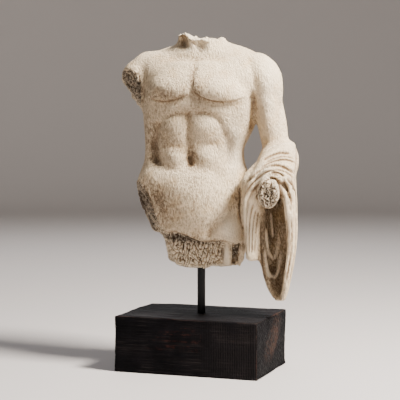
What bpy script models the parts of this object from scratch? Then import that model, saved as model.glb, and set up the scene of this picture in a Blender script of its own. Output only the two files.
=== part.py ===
"""Broken male torso cast in resin, on a steel rod in a block of painted wood.

The torso is modelled like clay: simple volumes are fused, muscles and folds are
worked into the surface with strokes, and the breaks are flattened last.
Metres, +Z up, the figure faces -Y. The origin is the centre of the block's underside.
"""

import math

import bmesh
import bpy
import numpy as np
from mathutils import Matrix, Vector, noise
from mathutils.bvhtree import BVHTree

# Driving dimensions.
BLOCK_WIDTH = 0.230
BLOCK_DEPTH = 0.156
BLOCK_HEIGHT = 0.087
BLOCK_EDGE = 0.0025
ROD_DIAMETER = 0.0125
ROD_SHOWN = 0.070  # bare rod between the block's top and the figure's underside
ROD_IN_BLOCK = 0.045
ROD_IN_FIGURE = 0.055
FIGURE_HEIGHT = 0.362  # from the broken underside to the top of the broken neck
CLEARANCE = 0.0003  # round the rod and at its ends

# The carving is given in shares of the figure's height: one unit is 1/362 of it,
# about a millimetre. Heights start at the figure's underside, X and Y at the rod.
UNITS_HIGH = 362.0
UNIT = FIGURE_HEIGHT / UNITS_HIGH
UNDERSIDE = BLOCK_HEIGHT + ROD_SHOWN

SIDES = {
    "front": Vector((0, 1, 0)),
    "back": Vector((0, -1, 0)),
    "left": Vector((-1, 0, 0)),
    "right": Vector((1, 0, 0)),
}
CLAY_GRAIN = 2.7  # size of the fused clay's facets, in units
WORKED_GRAIN = 2.2  # the same once it is worked and broken
ROUGH_HEIGHT, ROUGH_GRAIN = 1.8, 11.0  # bumps of the broken faces, in units
TRIANGLES = 9000  # kept on the finished torso
ROD_SIDES = 32
ROD_RIM = 0.0006  # bevel at the rod's ends

# Trunk sections: height, centre x, half width, front, back, squareness, turn in degrees.
TRUNK = (
    (-8, -6, 62, 36, 52, 2.3, 4),
    (20, -8, 74, 40, 60, 2.3, 5),
    (45, -9, 84, 44, 64, 2.3, 6),
    (70, -9, 91, 48, 66, 2.4, 7),
    (95, -10, 95, 50, 62, 2.4, 8),
    (120, -10, 94, 50, 55, 2.4, 8),
    (145, -12, 86, 48, 48, 2.4, 8),
    (165, -11.5, 78.5, 46, 44, 2.4, 8),
    (185, -11, 77, 46, 44, 2.4, 7),
    (207, -6, 83, 48, 48, 2.5, 6),
    (230, -2, 89, 50, 54, 2.5, 5),
    (255, 1, 92, 53, 58, 2.5, 5),
    (280, 2, 88, 54, 58, 2.4, 5),
    (300, 2, 74, 48, 54, 2.3, 5),
    (318, 2, 56, 38, 46, 2.2, 4),
)

# Shoulder girdle: x, centre y, centre height, half depth, half height.
GIRDLE = (
    (-114, 4, 293, 25, 29),
    (-100, 5, 296, 31, 38),
    (-78, 6, 294, 37, 43),
    (-48, 7, 287, 45, 47),
    (-16, 8, 280, 50, 50),
    (20, 8, 280, 50, 50),
    (52, 7, 286, 45, 47),
    (80, 6, 291, 37, 42),
    (102, 5, 293, 31, 36),
    (116, 4, 290, 24, 27),
)

# Tubes: x, y, height, then the half widths across and along the tube's section.
NECK = (
    (-2, 14, 314, 98, 34),
    (-2, 13, 328, 88, 33),
    (-2, 12, 335.5, 80, 31),
    (-2, 10.5, 341, 61, 30),
    (-2, 9, 347, 43, 28),
    (-2, 7, 355, 38.5, 27),
    (-2, 5, 370, 36.5, 26),
)
LEFT_ARM = (
    (96, 6, 316, 20, 24),
    (99, 6, 295, 27, 33),
    (104, 7, 268, 24, 31),
    (108, 9, 244, 21, 27),
    (111, 11, 222, 22, 27),
    (114, 12, 202, 21, 24),
    (118, 13, 182, 20, 22),
)
RIGHT_ARM = (
    (-92, 6, 317, 20, 24),
    (-100, 4, 298, 31, 35),
    (-104, 1, 270, 28, 34),
    (-108, -4, 244, 25, 31),
)
FOREARM = ((118, 22, 177, 20, 20), (123, -18, 156, 18, 20), (131, -84, 115, 16, 21.5))
SLEEVE = (
    (114, 13, 190, 24, 27),
    (121, 13, 172, 30, 31),
    (125, -14, 157, 31, 31),
    (131, -60, 133, 27, 27),
)

# The cloak. Each row of the hanging lobe: height, inner wall x, outer wall x,
# front of the inner wall, front of the outer wall, back.
LOBE = (
    (150, 102, 150, -54, -58, 37),
    (113, 102, 154, -54, -60, 34),
    (85, 102.5, 155, -50, -54, 31),
    (60, 103, 155, -46, -46, 28),
    (35, 103.5, 153.5, -36, -42, 24),
    (13, 103.5, 150.5, -20, -38, 19),
    (-9, 105.5, 146.5, -10, -35, 12),
    (-27, 110.5, 142.5, -7, -32, 4),
    (-38, 119, 139, -12, -30, -7),
    (-44, 126, 137, -18, -28, -15),
)
LOBE_WALL = 8
BAND_WALL = 6  # what the outer wall is thicker by, where the cloth is folded double
# Cloth between hip and forearm: height, centre x, centre y, half width, half depth.
CURTAIN = (
    (166, 106, -10, 12, 22),
    (158, 102, -12, 15, 26),
    (150, 99, -16, 20, 31),
    (140, 98, -20, 20, 36),
    (115, 97, -22, 16, 38),
    (80, 95, -22, 13, 37),
    (48, 95.5, -20, 12, 37),
    (18, 95.5, -18, 11, 35),
)
# The cloak's edge that lies over the curtain, from the forearm down to its tip.
FLAP = (
    (118, -42, 150, 9, 16),
    (106, -54, 138, 9, 17),
    (96, -58, 118, 7, 14),
    (92, -60, 96, 6, 9),
    (90, -60, 76, 4, 4),
)

NECK_BREAK = 346  # everything higher is the broken top of the neck

# Breaks: a spot and the outward normal of the broken face, then the corners of the box it acts in.
BREAKS = (
    ((3, 0, 358), (0.02, -0.06, 1), (-80, -70, 335), (80, 70, 400)),
    ((-110, -8, 270), (-0.56, -0.75, -0.35), (-200, -90, 228), (-93, 90, 330)),
    ((-133, 0, 292), (-0.72, -0.35, -0.57), (-200, -90, 228), (-93, 90, 330)),
    ((-67, -45, 98), (-0.74, -0.55, -0.38), (-200, -90, -20), (0, 90, 150)),
    ((-90, 10, 69), (-0.84, -0.30, -0.45), (-200, -90, -20), (0, 90, 140)),
    ((-50, -38, 30), (-0.97, -0.20, -0.10), (-200, -90, -20), (0, 90, 52)),
    ((131, -76, 120), (0.25, -0.95, -0.12), (112, -120, 88), (151, -66, 146)),
    ((0, 0, 3), (0, 0, -1), (-90, -90, -20), (88, 90, 20)),
    ((-48, -38, 12), (-0.25, -0.10, -1), (-90, -90, -20), (0, 90, 30)),
    ((50, -25, 9), (0.12, -0.15, -1), (20, -90, -20), (88, 90, 30)),
)
# The lower edge of the belly's skin, where the front is broken away: x and height.
SKIN_EDGE = (
    (-60, 58),
    (-44, 60),
    (-24, 58),
    (-13, 56),
    (-3, 51),
    (8, 47),
    (17, 44),
    (35, 46),
    (47, 47),
    (61, 43),
    (90, 42),
)

# Where the figure is looked at from for strokes on the side "eye", whose spots are
# (across, down) in a picture 400 wide and high.
EYE = (718.1, -2045.6, 246.6)
EYE_TURN, EYE_DROP = 19.4, 3.73  # degrees
EYE_FOCUS = 1400


def smooth_rows(rows, count):
    """Rows of numbers, read from a smooth curve through the given rows."""
    rows = np.array(rows, float)
    steps = np.linalg.norm(np.diff(rows[:, :3], axis=0), axis=1)
    at = np.concatenate([[0.0], np.cumsum(steps)])
    slopes = np.gradient(rows, at, axis=0)
    wanted = np.linspace(0, at[-1], count)
    index = np.clip(np.searchsorted(at, wanted, "right") - 1, 0, len(at) - 2)
    gap = at[index + 1] - at[index]
    t = ((wanted - at[index]) / gap)[:, None]
    gap = gap[:, None]
    return (
        (2 * t**3 - 3 * t**2 + 1) * rows[index]
        + (t**3 - 2 * t**2 + t) * gap * slopes[index]
        + (3 * t**2 - 2 * t**3) * rows[index + 1]
        + (t**3 - t**2) * gap * slopes[index + 1]
    )


def add_loft(clay, rings):
    """A closed skin over rings of points that all have the same count."""
    made = [[clay.verts.new(point) for point in ring] for ring in rings]
    count = len(made[0])
    for low, high in zip(made, made[1:]):
        for i in range(count):
            j = (i + 1) % count
            clay.faces.new((low[i], low[j], high[j], high[i]))
    clay.faces.new(list(reversed(made[0])))
    clay.faces.new(made[-1])


def trunk_rings():
    rings = []
    for row in smooth_rows(TRUNK, 46):
        height, centre, half, front, back, squareness, turn = row
        power = 2 / squareness
        cos_turn, sin_turn = math.cos(math.radians(turn)), math.sin(math.radians(turn))
        ring = []
        for i in range(72):
            angle = math.tau * i / 72
            c, s = math.cos(angle), math.sin(angle)
            x = half * math.copysign(abs(c) ** power, c)
            y = (back if s > 0 else front) * math.copysign(abs(s) ** power, s)
            ring.append((centre + x * cos_turn - y * sin_turn, x * sin_turn + y * cos_turn, height))
        rings.append(ring)
    return rings


def girdle_rings():
    rings = []
    for x, y, z, depth, height in smooth_rows(GIRDLE, 40):
        ring = []
        for i in range(48):
            angle = math.tau * i / 48
            ring.append((x, y + depth * math.cos(angle), z + height * math.sin(angle)))
        rings.append(ring)
    return rings


def tube_rings(rows, count=24, sides=32):
    """Oval rings along a path; the first half width lies as near to X as the path allows."""
    rows = smooth_rows(rows, count)
    rings = []
    for k, (x, y, z, across, along) in enumerate(rows):
        ahead = rows[min(k + 1, count - 1), :3] - rows[max(k - 1, 0), :3]
        ahead = Vector(ahead).normalized()
        side = Vector((1, 0, 0))
        side = (side - ahead * side.dot(ahead)).normalized()
        other = ahead.cross(side)
        ring = []
        for i in range(sides):
            angle = math.tau * i / sides
            offset = side * (across * math.cos(angle)) + other * (along * math.sin(angle))
            ring.append(Vector((x, y, z)) + offset)
        rings.append(ring)
    return rings


def add_lobe(clay):
    """The cloth that hangs outside the forearm: a deep fold, open to the front."""
    rows = smooth_rows(LOBE, 40)
    columns = 33
    grid = []
    for height, inner, outer, front_in, front_out, back in rows:
        line = []
        for j in range(columns):
            share = 2 * j / (columns - 1) - 1
            angle = abs(share) * math.pi / 2
            front = front_in if share < 0 else front_out
            x = (inner + outer) / 2 + math.copysign(math.sin(angle) ** 0.75, share) * (outer - inner) / 2
            y = back + (front - back) * (1 - math.cos(angle)) ** 0.85
            line.append((x, y, height))
        grid.append(line)
    shares = np.linspace(-1, 1, columns)
    band = BAND_WALL * eased((shares - 0.2) / 0.6)
    walls = LOBE_WALL + band * np.linspace(1, 0.1, len(rows))[:, None] ** 0.6
    add_sheet(clay, grid, walls[:, :, None])


def add_sheet(clay, grid, wall):
    """A sheet of the given thicknesses, half on each side of the grid."""
    points = np.array(grid)
    down, across = np.gradient(points, axis=0), np.gradient(points, axis=1)
    normals = np.cross(across, down)
    normals /= np.linalg.norm(normals, axis=2, keepdims=True)
    sides = [points + normals * wall / 2, points - normals * wall / 2]
    layers = [[[clay.verts.new(p) for p in line] for line in side] for side in sides]
    rows, columns = points.shape[:2]
    for layer, flip in zip(layers, (False, True)):
        for i in range(rows - 1):
            for j in range(columns - 1):
                corners = [layer[i][j], layer[i][j + 1], layer[i + 1][j + 1], layer[i + 1][j]]
                clay.faces.new(corners[::-1] if flip else corners)
    border = [(0, j) for j in range(columns)]
    border += [(i, columns - 1) for i in range(1, rows)]
    border += [(rows - 1, j) for j in range(columns - 2, -1, -1)]
    border += [(i, 0) for i in range(rows - 2, 0, -1)]
    for k, (i, j) in enumerate(border):
        m, n = border[(k + 1) % len(border)]
        clay.faces.new((layers[0][m][n], layers[0][i][j], layers[1][i][j], layers[1][m][n]))


def curtain_rings():
    rings = []
    for height, x, y, width, depth in smooth_rows(CURTAIN, 24):
        ring = []
        for i in range(40):
            angle = math.tau * i / 40
            c, s = math.cos(angle), math.sin(angle)
            c, s = math.copysign(abs(c) ** 0.7, c), math.copysign(abs(s) ** 0.7, s)
            ring.append((x + width * c, y + depth * s, height))
        rings.append(ring)
    return rings


def fused_clay():
    """All volumes of the torso as one dense skin, in units."""
    clay = bmesh.new()
    add_loft(clay, trunk_rings())
    add_loft(clay, girdle_rings())
    for rows in (NECK, LEFT_ARM, RIGHT_ARM, FOREARM, SLEEVE, FLAP):
        add_loft(clay, tube_rings(rows))
    add_loft(clay, curtain_rings())
    add_lobe(clay)
    bmesh.ops.recalc_face_normals(clay, faces=clay.faces)
    mesh = bpy.data.meshes.new("clay")
    clay.to_mesh(mesh)
    clay.free()
    return remeshed(mesh, CLAY_GRAIN, 8)


def remeshed(mesh, grain, softening):
    """The mesh as one even skin, its overlaps fused."""
    lump = bpy.data.objects.new("clay", mesh)
    bpy.context.scene.collection.objects.link(lump)
    remesh = lump.modifiers.new("fuse", "REMESH")
    remesh.mode = "VOXEL"
    remesh.voxel_size = grain
    soften = lump.modifiers.new("soften", "SMOOTH")
    soften.factor = 0.5
    soften.iterations = softening
    bpy.context.view_layer.update()
    evaluated = lump.evaluated_get(bpy.context.evaluated_depsgraph_get())
    fused = bpy.data.meshes.new_from_object(evaluated)
    bpy.data.objects.remove(lump)
    return fused


def eye_axes():
    turn, drop = math.radians(EYE_TURN), math.radians(EYE_DROP)
    ahead = Vector((-math.sin(turn) * math.cos(drop), math.cos(turn) * math.cos(drop), -math.sin(drop)))
    across = Vector((math.cos(turn), math.sin(turn), 0))
    return across, ahead, across.cross(ahead)


def eye_ray(spot):
    across, ahead, up = eye_axes()
    return ahead + across * ((spot[0] - 200) / EYE_FOCUS) + up * ((200 - spot[1]) / EYE_FOCUS)


class Clay:
    """A dense skin under the modelling tools: its points, its normals and the strokes that move them."""

    def __init__(self, mesh):
        self.mesh = mesh
        self.points = np.empty(len(mesh.vertices) * 3)
        mesh.vertices.foreach_get("co", self.points)
        self.points = self.points.reshape(-1, 3)
        self.refresh()

    def refresh(self):
        """Writes the points back and measures the surface again."""
        self.mesh.vertices.foreach_set("co", self.points.ravel())
        self.mesh.update()
        self.normals = np.empty(len(self.points) * 3)
        self.mesh.vertex_normals.foreach_get("vector", self.normals)
        self.normals = self.normals.reshape(-1, 3)
        faces = [tuple(face.vertices) for face in self.mesh.polygons]
        self.tree = BVHTree.FromPolygons([Vector(p) for p in self.points], faces)

    def on_surface(self, spots, side):
        """Spots seen from a side, brought onto the clay, and the way the clay faces there."""
        found = []
        for spot in spots:
            if side == "eye":
                hit = self.tree.ray_cast(Vector(EYE), eye_ray(spot))
                if hit[0] is not None:
                    found.append(hit[:2])
                continue
            looking = SIDES[side]
            start = Vector((spot[0], 0, spot[1])) if looking.y else Vector((0, spot[0], spot[1]))
            hit = self.tree.ray_cast(start - looking * 500, looking)
            if hit[0] is not None:
                found.append(hit[:2])
        return np.array([f[0] for f in found]), np.array([f[1] for f in found])

    def along(self, spots, side, reach):
        """Distance, signed side and share along a smooth path for each point within reach."""
        line = smooth_rows([(*spot, 0.0) for spot in spots], 4 * len(spots) + 1)
        path, facing = self.on_surface(line[:, :2], side)
        low, high = path.min(0) - reach, path.max(0) + reach
        near = np.flatnonzero(((self.points > low) & (self.points < high)).all(1))
        points = self.points[near]
        best = np.full(len(near), np.inf)
        signed = np.zeros(len(near))
        share = np.zeros(len(near))
        faces = np.zeros(len(near))
        for k in range(len(path) - 1):
            step = path[k + 1] - path[k]
            length = max(np.dot(step, step), 1e-9)
            t = np.clip((points - path[k]) @ step / length, 0, 1)
            away = points - path[k] - t[:, None] * step
            distance = np.linalg.norm(away, axis=1)
            closer = distance < best
            aside = np.cross(facing[k], step / math.sqrt(length))
            best[closer] = distance[closer]
            signed[closer] = (away @ aside)[closer]
            share[closer] = (k + t[closer]) / (len(path) - 1)
            faces[closer] = (self.normals[near] @ facing[k])[closer]
        kept = (best < reach) & (faces > -0.2)
        return near[kept], best[kept], signed[kept], share[kept]

    def stroke(self, spots, width, height, side="front", ends=0.25):
        """A ridge along a path, or a groove where the height is below zero."""
        near, distance, _, share = self.along(spots, side, 2.6 * width)
        self.push(near, height * np.exp(-((distance / width) ** 2)) * faded(share, ends))

    def border(self, spots, height, edge, reach, side="front", ends=0.2):
        """A step along a path: the clay on its left hand is raised and runs out over the reach."""
        near, _, signed, share = self.along(spots, side, 2.2 * reach)
        step = eased((signed + edge) / (2 * edge)) * np.exp(-((np.maximum(signed, 0) / reach) ** 2))
        self.push(near, height * step * faded(share, ends))

    def seen(self, side):
        """Each point's place across and up in a view, and how far its surface faces that way."""
        if side == "eye":
            across, ahead, up = (np.array(axis) for axis in eye_axes())
            offset = self.points - np.array(EYE)
            depth = offset @ ahead
            rays = offset / np.linalg.norm(offset, axis=1)[:, None]
            facing = -(self.normals * rays).sum(1)
            scale = EYE_FOCUS / depth
            return 200 + scale * (offset @ across), 200 - scale * (offset @ up), facing
        if side == "top":
            facing = self.normals[:, 2] * (self.points[:, 2] > NECK_BREAK)
            return self.points[:, 0], self.points[:, 1], facing
        looking = np.array(SIDES[side])
        return self.points[:, 0 if looking[1] else 1], self.points[:, 2], -(self.normals @ looking)

    def mound(self, spot, radii, height, side="front", lean=0):
        """An oval swelling, or a hollow where the height is below zero; it leans by degrees."""
        across, up, facing = self.seen(side)
        across, up = across - spot[0], up - spot[1]
        c, s = math.cos(math.radians(lean)), math.sin(math.radians(lean))
        square = ((across * c + up * s) / radii[0]) ** 2 + ((up * c - across * s) / radii[1]) ** 2
        near = np.flatnonzero((square < 1) & (facing > 0))
        amount = (1 - square[near]) ** 2 * eased(facing[near] / 0.35)
        self.push(near, height * amount)

    def push(self, near, amount):
        self.points[near] += self.normals[near] * amount[:, None]

    def chop(self, spot, normal, low, high):
        """A broken end: whatever stands beyond a plane, inside a box, is brought back to it."""
        normal = np.array(Vector(normal).normalized())
        beyond = (self.points - np.array(spot)) @ normal
        boxed = ((self.points > low) & (self.points < high)).all(1)
        near = np.flatnonzero((beyond > 0) & boxed)
        self.points[near] -= normal * beyond[near, None]

    def broken(self):
        """How far each point belongs to a broken face, from 0 to 1."""
        mask = np.zeros(len(self.points))
        for spot, normal, low, high in BREAKS:
            normal = np.array(Vector(normal).normalized())
            beyond = (self.points - np.array(spot)) @ normal
            boxed = ((self.points > np.array(low) - 3) & (self.points < np.array(high) + 3)).all(1)
            facing = eased((self.normals @ normal - 0.45) / 0.3)
            mask = np.maximum(mask, eased((beyond + 5) / 3) * boxed * facing)
        edge = np.interp(self.points[:, 0], *np.transpose(SKIN_EDGE))
        front = eased(-self.normals[:, 1] / 0.4) * (self.points[:, 1] < 0) * (self.points[:, 0] < 60)
        return np.maximum(mask, front * eased((edge - self.points[:, 2]) / 2))


def eased(t):
    t = np.clip(t, 0, 1)
    return t * t * (3 - 2 * t)


def faded(share, ends):
    """Runs out at both ends of a path."""
    if not ends:
        return np.ones(len(share))
    return eased(np.minimum(share, 1 - share) / ends)


def uneven(point, grain):
    return noise.fractal(Vector(point) / grain, 0.6, 2.0, 3)


def model_chest(clay):
    clay.mound((222, 80), (31, 25), 4.5, side="eye")
    clay.mound((164, 80), (30, 25), 4.5, side="eye")
    clay.refresh()
    left = [(196, 65.6), (193.6, 73.5), (191.2, 82), (192.4, 89.2), (198.5, 95.3), (207, 99.2)]
    left += [(215.4, 101.1), (225, 102.3), (234.8, 101.6), (243.3, 98.3), (250.6, 94), (253, 90.4)]
    right = [(145, 85.6), (147.6, 92.9), (152.4, 98.9), (161, 101.3), (170.6, 100.7)]
    right += [(180.3, 97.7), (187.5, 94), (190, 88), (191, 79.5), (193.6, 68.6)]
    clay.border(left, 6.0, 3.0, 32, side="eye")
    clay.border(right, 5.0, 3.2, 30, side="eye")
    clay.refresh()
    # Creases of the shoulders, and the collar bones.
    clay.stroke([(248, 55), (250.6, 65), (253, 73.5), (254.8, 83.2), (253, 91)], 5.0, -3.0, side="eye")
    clay.stroke([(143, 57), (142, 67.4), (142.7, 77), (145, 86)], 5.5, -3.5, side="eye")
    clay.stroke([(203, 51.5), (212, 53), (224, 53.5), (237, 53), (249, 54)], 4.0, 1.8, side="eye")
    clay.stroke([(190, 52), (180, 53), (168, 54.5), (156, 55)], 4.0, 1.8, side="eye")
    clay.stroke([(204, 56), (216, 58), (230, 58)], 4.0, -1.2, side="eye")
    clay.stroke([(188, 57), (176, 58), (163, 59)], 4.0, -1.2, side="eye")
    # The ribs under the chest, and the arch that the belly hangs in.
    ribs = [(152, 106), (161, 108), (170.6, 108), (180, 105.5), (187.5, 102.5), (193, 103), (201, 107)]
    clay.stroke([*ribs, (211, 110), (222, 110.5), (234, 109)], 5.0, 2.2, side="eye")
    clay.refresh()
    arch = [(161, 128), (163.3, 122), (167, 118), (175.4, 115.3), (185, 114.7), (194.8, 114), (204.5, 114)]
    clay.stroke([*arch, (213, 117), (219, 123.2), (222.7, 131.6)], 4.2, -3.4, side="eye", ends=0.12)
    clay.stroke([(148, 109), (158.5, 112.2), (168, 115)], 3.8, -2.2, side="eye")
    for y in (112, 121, 130):
        clay.stroke([(144, y), (148, y + 1.5), (152, y + 4.5)], 4.0, 1.4, side="eye")
        clay.stroke([(247, y - 3), (242, y + 1), (236, y + 6)], 4.5, 1.0, side="eye")
    clay.refresh()


def model_belly(clay):
    for spot, radii, height in (
        ((174, 126), (13, 12), 2.4),
        ((174, 140), (13, 9), 1.2),
        ((174, 157), (13, 15), 4.0),
        ((204, 126), (17, 12), 2.8),
        ((205, 140), (16, 9), 1.2),
        ((209, 157), (15, 15), 4.0),
    ):
        clay.mound(spot, radii, height, side="eye")
    clay.refresh()
    middle = [(189, 108), (188, 114.7), (188, 134), (188.8, 146), (189, 158.3), (189.5, 169)]
    clay.stroke(middle, 4.0, -4.6, side="eye", ends=0.1)
    clay.mound((191, 161), (7, 11), -4.5, side="eye")
    clay.stroke([(164, 144), (174, 146), (184, 146)], 5, -0.8, side="eye")
    clay.stroke([(194, 146), (206, 146), (220, 144)], 5, -0.8, side="eye")
    # Grooves between the straight muscle and the flanks.
    clay.stroke([(158, 118), (156, 131.6), (154, 146), (156, 158.3), (161, 168)], 6.5, -6.5, side="eye")
    clay.stroke([(221, 126), (225, 134), (227.5, 146), (229.4, 158.3), (227.5, 168)], 6.0, -3.4, side="eye")
    clay.mound((148, 145), (7, 22), 2.5, side="eye")
    clay.mound((238, 146), (9, 22), 2.0, side="eye")
    clay.refresh()
    # The belt of the lower belly and the hip.
    belt = [(222, 169), (214, 170), (207, 170.4), (197.2, 171), (187.5, 170.4), (178, 170.4)]
    belt += [(167, 171), (158.5, 168.6), (150, 164.3), (142.7, 165.6)]
    clay.border(belt, 4.0, 4.5, 30, side="eye", ends=0.3)
    clay.mound((149, 178), (16, 14), 4.5, side="eye")
    clay.mound((196, 203), (44, 37), 9.0, side="eye")
    clay.stroke([(152, 188), (160, 202), (168, 218), (172, 230)], 13, -3.0, side="eye")
    clay.refresh()
    # The fold of the left groin, with the thigh swelling below it.
    clay.mound((228, 229), (13, 15), 6.0, side="eye")
    groin = [(237, 190), (235, 203.6), (230.7, 212.5), (222.7, 218.75), (214.6, 226), (209.3, 233)]
    clay.stroke([*groin, (207, 241)], 6.0, -5.0, side="eye", ends=0.15)
    clay.refresh()


def model_underside(clay):
    """Below the belly's skin the front is broken away, down to a rough core."""
    x, y, z = clay.points.T
    below = eased((np.interp(x, *np.transpose(SKIN_EDGE)) - z) / 3.5)
    front = eased(-clay.normals[:, 1] / 0.5) * (y < 0) * (x < 86)
    clay.push(np.arange(len(x)), -5.5 * below * front)
    clay.refresh()
    clay.stroke([(227, 243), (227, 255), (227, 268)], 4.5, 4.0, side="eye", ends=0.05)
    clay.stroke([(234.3, 244), (234.3, 255), (234.3, 268)], 4.5, -9.0, side="eye", ends=0.05)
    clay.stroke([(241.5, 244), (241.5, 255), (241.5, 266)], 5.5, 5.0, side="eye", ends=0.05)
    clay.refresh()


def model_back(clay):
    for sign in (-1, 1):
        clay.mound((4 + 50 * sign, 284), (34, 42), 6, side="back", lean=-12 * sign)
        clay.mound((4 + 46 * sign, 326), (44, 12), 2.5, side="back")
    clay.mound((-50, 52), (46, 56), 9, side="back")
    clay.mound((34, 52), (44, 56), 9, side="back")
    clay.refresh()
    spine = [(5, 338), (4, 300), (1, 260), (-4, 220), (-8, 184), (-10, 150), (-10, 118)]
    clay.stroke(spine, 6, -4.0, side="back", ends=0.2)
    clay.stroke([(-10, 126), (-10, 90), (-9, 50), (-8, 0)], 5.5, -11, side="back", ends=0.2)
    for sign in (-1, 1):
        # Each side's long back muscle, shoulder blade, broad back muscle and seat fold.
        x = 17 * sign
        clay.stroke([(x + 1, 236), (x - 4, 200), (x - 8, 166), (x - 9, 138)], 9, 3.6, side="back")
        clay.stroke([(x + 3, 316), (x, 290), (x + 5 * sign, 262), (x + 19 * sign, 246)], 6, -1.6, side="back")
        clay.stroke([(x + 9 * sign, 314), (x + 35 * sign, 306), (x + 65 * sign, 312)], 6, 1.6, side="back")
        clay.stroke([(5 * x, 254), (3.6 * x, 226), (2.4 * x - 4, 196), (1.9 * x - 6, 166)], 8, -2.2, side="back")
        clay.mound((x - 9, 132), (8, 8), -2.0, side="back")
        clay.stroke([(x - 14, 4), (2 * x - 9, 0), (3.6 * x - 9, 8)], 6, -3.0, side="back")
    clay.refresh()


def model_arm(clay):
    clay.stroke([(252.5, 93), (253.5, 104), (253, 118), (251, 133)], 4.2, -5.0, side="eye", ends=0.12)
    clay.mound((268, 119), (9, 20), 2.5, side="eye")
    clay.stroke([(256, 88), (262, 93), (268, 96), (275, 93)], 5.0, -1.8, side="eye")
    clay.mound((108, 240), (16, 30), 3, side="back")
    clay.stroke([(-24, 290), (-10, 262), (6, 248), (20, 262), (34, 290)], 5, -2.4, side="left")
    clay.refresh()


def model_neck(clay):
    clay.mound((200, 46), (9, 10), -11, side="eye")
    clay.mound((183.6, 42.6), (8, 8), -9, side="eye")
    clay.refresh()


def model_neck_top(clay):
    """The broken neck stands higher at its front corner and sinks behind the throat."""
    clay.mound((-26, -12), (20, 18), 5, side="top")
    clay.mound((2, -8), (16, 18), -5, side="top")
    clay.mound((10, 14), (20, 18), -3, side="top")
    clay.mound((30, 2), (14, 14), 2, side="top")
    clay.refresh()


def model_cloak(clay):
    edge = [(296, 146), (290, 144), (284, 145), (273, 149.5), (263, 157), (255, 169), (248.4, 174)]
    edge += [(243, 179.5), (239.5, 184), (238, 189), (239.5, 197.5), (241, 204), (242, 220), (244.5, 231)]
    clay.border(edge, 3.2, 1.8, 18, side="eye", ends=0.08)
    clay.border([(36, 192), (14, 197), (-12, 193)], 2.6, 1.8, 14, side="left", ends=0.1)
    clay.border([(94, 190), (118, 196), (144, 193)], 2.6, 1.8, 14, side="back", ends=0.1)
    clay.refresh()
    # Folds swept over the forearm, from the outside down to the curtain.
    grooves = (
        "296,156 289,153.5 281,153.5 272,156 264,162",
        "298,170 293,163 284,159.5 274,160 265,165 257,172 248,181 242,190",
        "298.5,181 294,173.5 285,167.5 275,166 266,170 257,178 249.5,188 244,201",
        "298.5,200 295,186 289,177.5 281,173.5 273,173 264,178 256,187 249,199 245.5,214",
        "293.5,214 292.5,201 288,190 281,182",
    )
    for groove in grooves:
        spots = [tuple(map(float, spot.split(","))) for spot in groove.split()]
        clay.stroke(spots, 2.6, -3.4, side="eye", ends=0.15)
    clay.refresh()
    # Upright folds of the curtain, and of the folded band outside the hollow.
    for x, deep in ((249.6, 2.2), (253, 2.8), (257, 2.6)):
        clay.stroke([(x + 1, 205), (x, 225), (x, 262)], 2.4, -deep, side="eye", ends=0.1)
    clay.stroke([(294.5, 212), (295, 232), (293, 255), (288.5, 280)], 2.6, -2.0, side="eye")
    # Swags at the back of the hollow.
    for low in (249, 264, 279):
        swag = [(265, low - 23), (268, low - 9), (273, low), (278, low - 9), (283, low - 27)]
        clay.stroke(swag, 2.6, 3.0, side="eye")
    clay.refresh()
    # Plain folds down the outside and the back.
    for y, deep in ((-36, 2.0), (-20, 2.8), (-4, 2.2), (13, 2.8)):
        fold = [(y, 160), (y - 2, 100), (y - 6, 50), (y * 0.8 - 12, 0), (y * 0.4 - 16, -30)]
        clay.stroke(fold, 4.0, -deep, side="left")
    for x in (96, 113, 131, 146):
        clay.stroke([(x, 165), (x + 1, 100), (x + 1, 50), (x * 0.6 + 52, 4)], 4.0, -2.8, side="back")
    clay.refresh()


def break_ends(clay):
    for broken in BREAKS:
        clay.chop(*broken)
    clay.refresh()


def roughen(clay, height, grain):
    """Uneven broken faces."""
    bumps = np.array([uneven(point, grain) for point in clay.points])
    clay.push(np.arange(len(clay.points)), height * bumps * clay.broken())
    clay.refresh()


def torso_mesh():
    """The worked torso at its size, still dense and without its bore."""
    clay = Clay(fused_clay())
    model_chest(clay)
    model_belly(clay)
    model_underside(clay)
    model_back(clay)
    model_arm(clay)
    model_neck(clay)
    model_cloak(clay)
    break_ends(clay)
    clay = Clay(remeshed(clay.mesh, WORKED_GRAIN, 1))
    model_neck_top(clay)
    roughen(clay, ROUGH_HEIGHT, ROUGH_GRAIN)
    clay.mesh.transform(Matrix.Scale(UNIT, 4))
    return clay.mesh


def clear_scene():
    for old in list(bpy.data.objects):
        bpy.data.objects.remove(old, do_unlink=True)


def add_object(name, mesh, folder, location=(0, 0, 0)):
    obj = bpy.data.objects.new(name, mesh)
    obj.location = location
    folder.objects.link(obj)
    return obj


def give_material(obj, name, colour, roughness, metallic):
    """A plain material of linear colour, roughness and metallic value."""
    material = bpy.data.materials.new(name)
    material.use_nodes = True
    shader = material.node_tree.nodes["Principled BSDF"]
    shader.inputs["Base Color"].default_value = (*colour, 1)
    shader.inputs["Roughness"].default_value = roughness
    shader.inputs["Metallic"].default_value = metallic
    obj.data.materials.append(material)


def add_cylinder(name, radius, bottom, top, folder, sides, bevel=0.0):
    """An upright cylinder on the rod's axis."""
    shape = bmesh.new()
    bmesh.ops.create_cone(
        shape, cap_ends=True, segments=sides, radius1=radius, radius2=radius, depth=top - bottom
    )
    if bevel:
        rims = [e for e in shape.edges if abs(e.verts[0].co.z - e.verts[1].co.z) < bevel]
        bmesh.ops.bevel(shape, geom=rims, offset=bevel, segments=1, profile=0.5, affect="EDGES")
    mesh = bpy.data.meshes.new(name)
    shape.to_mesh(mesh)
    shape.free()
    return add_object(name, mesh, folder, (0, 0, (bottom + top) / 2))


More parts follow.
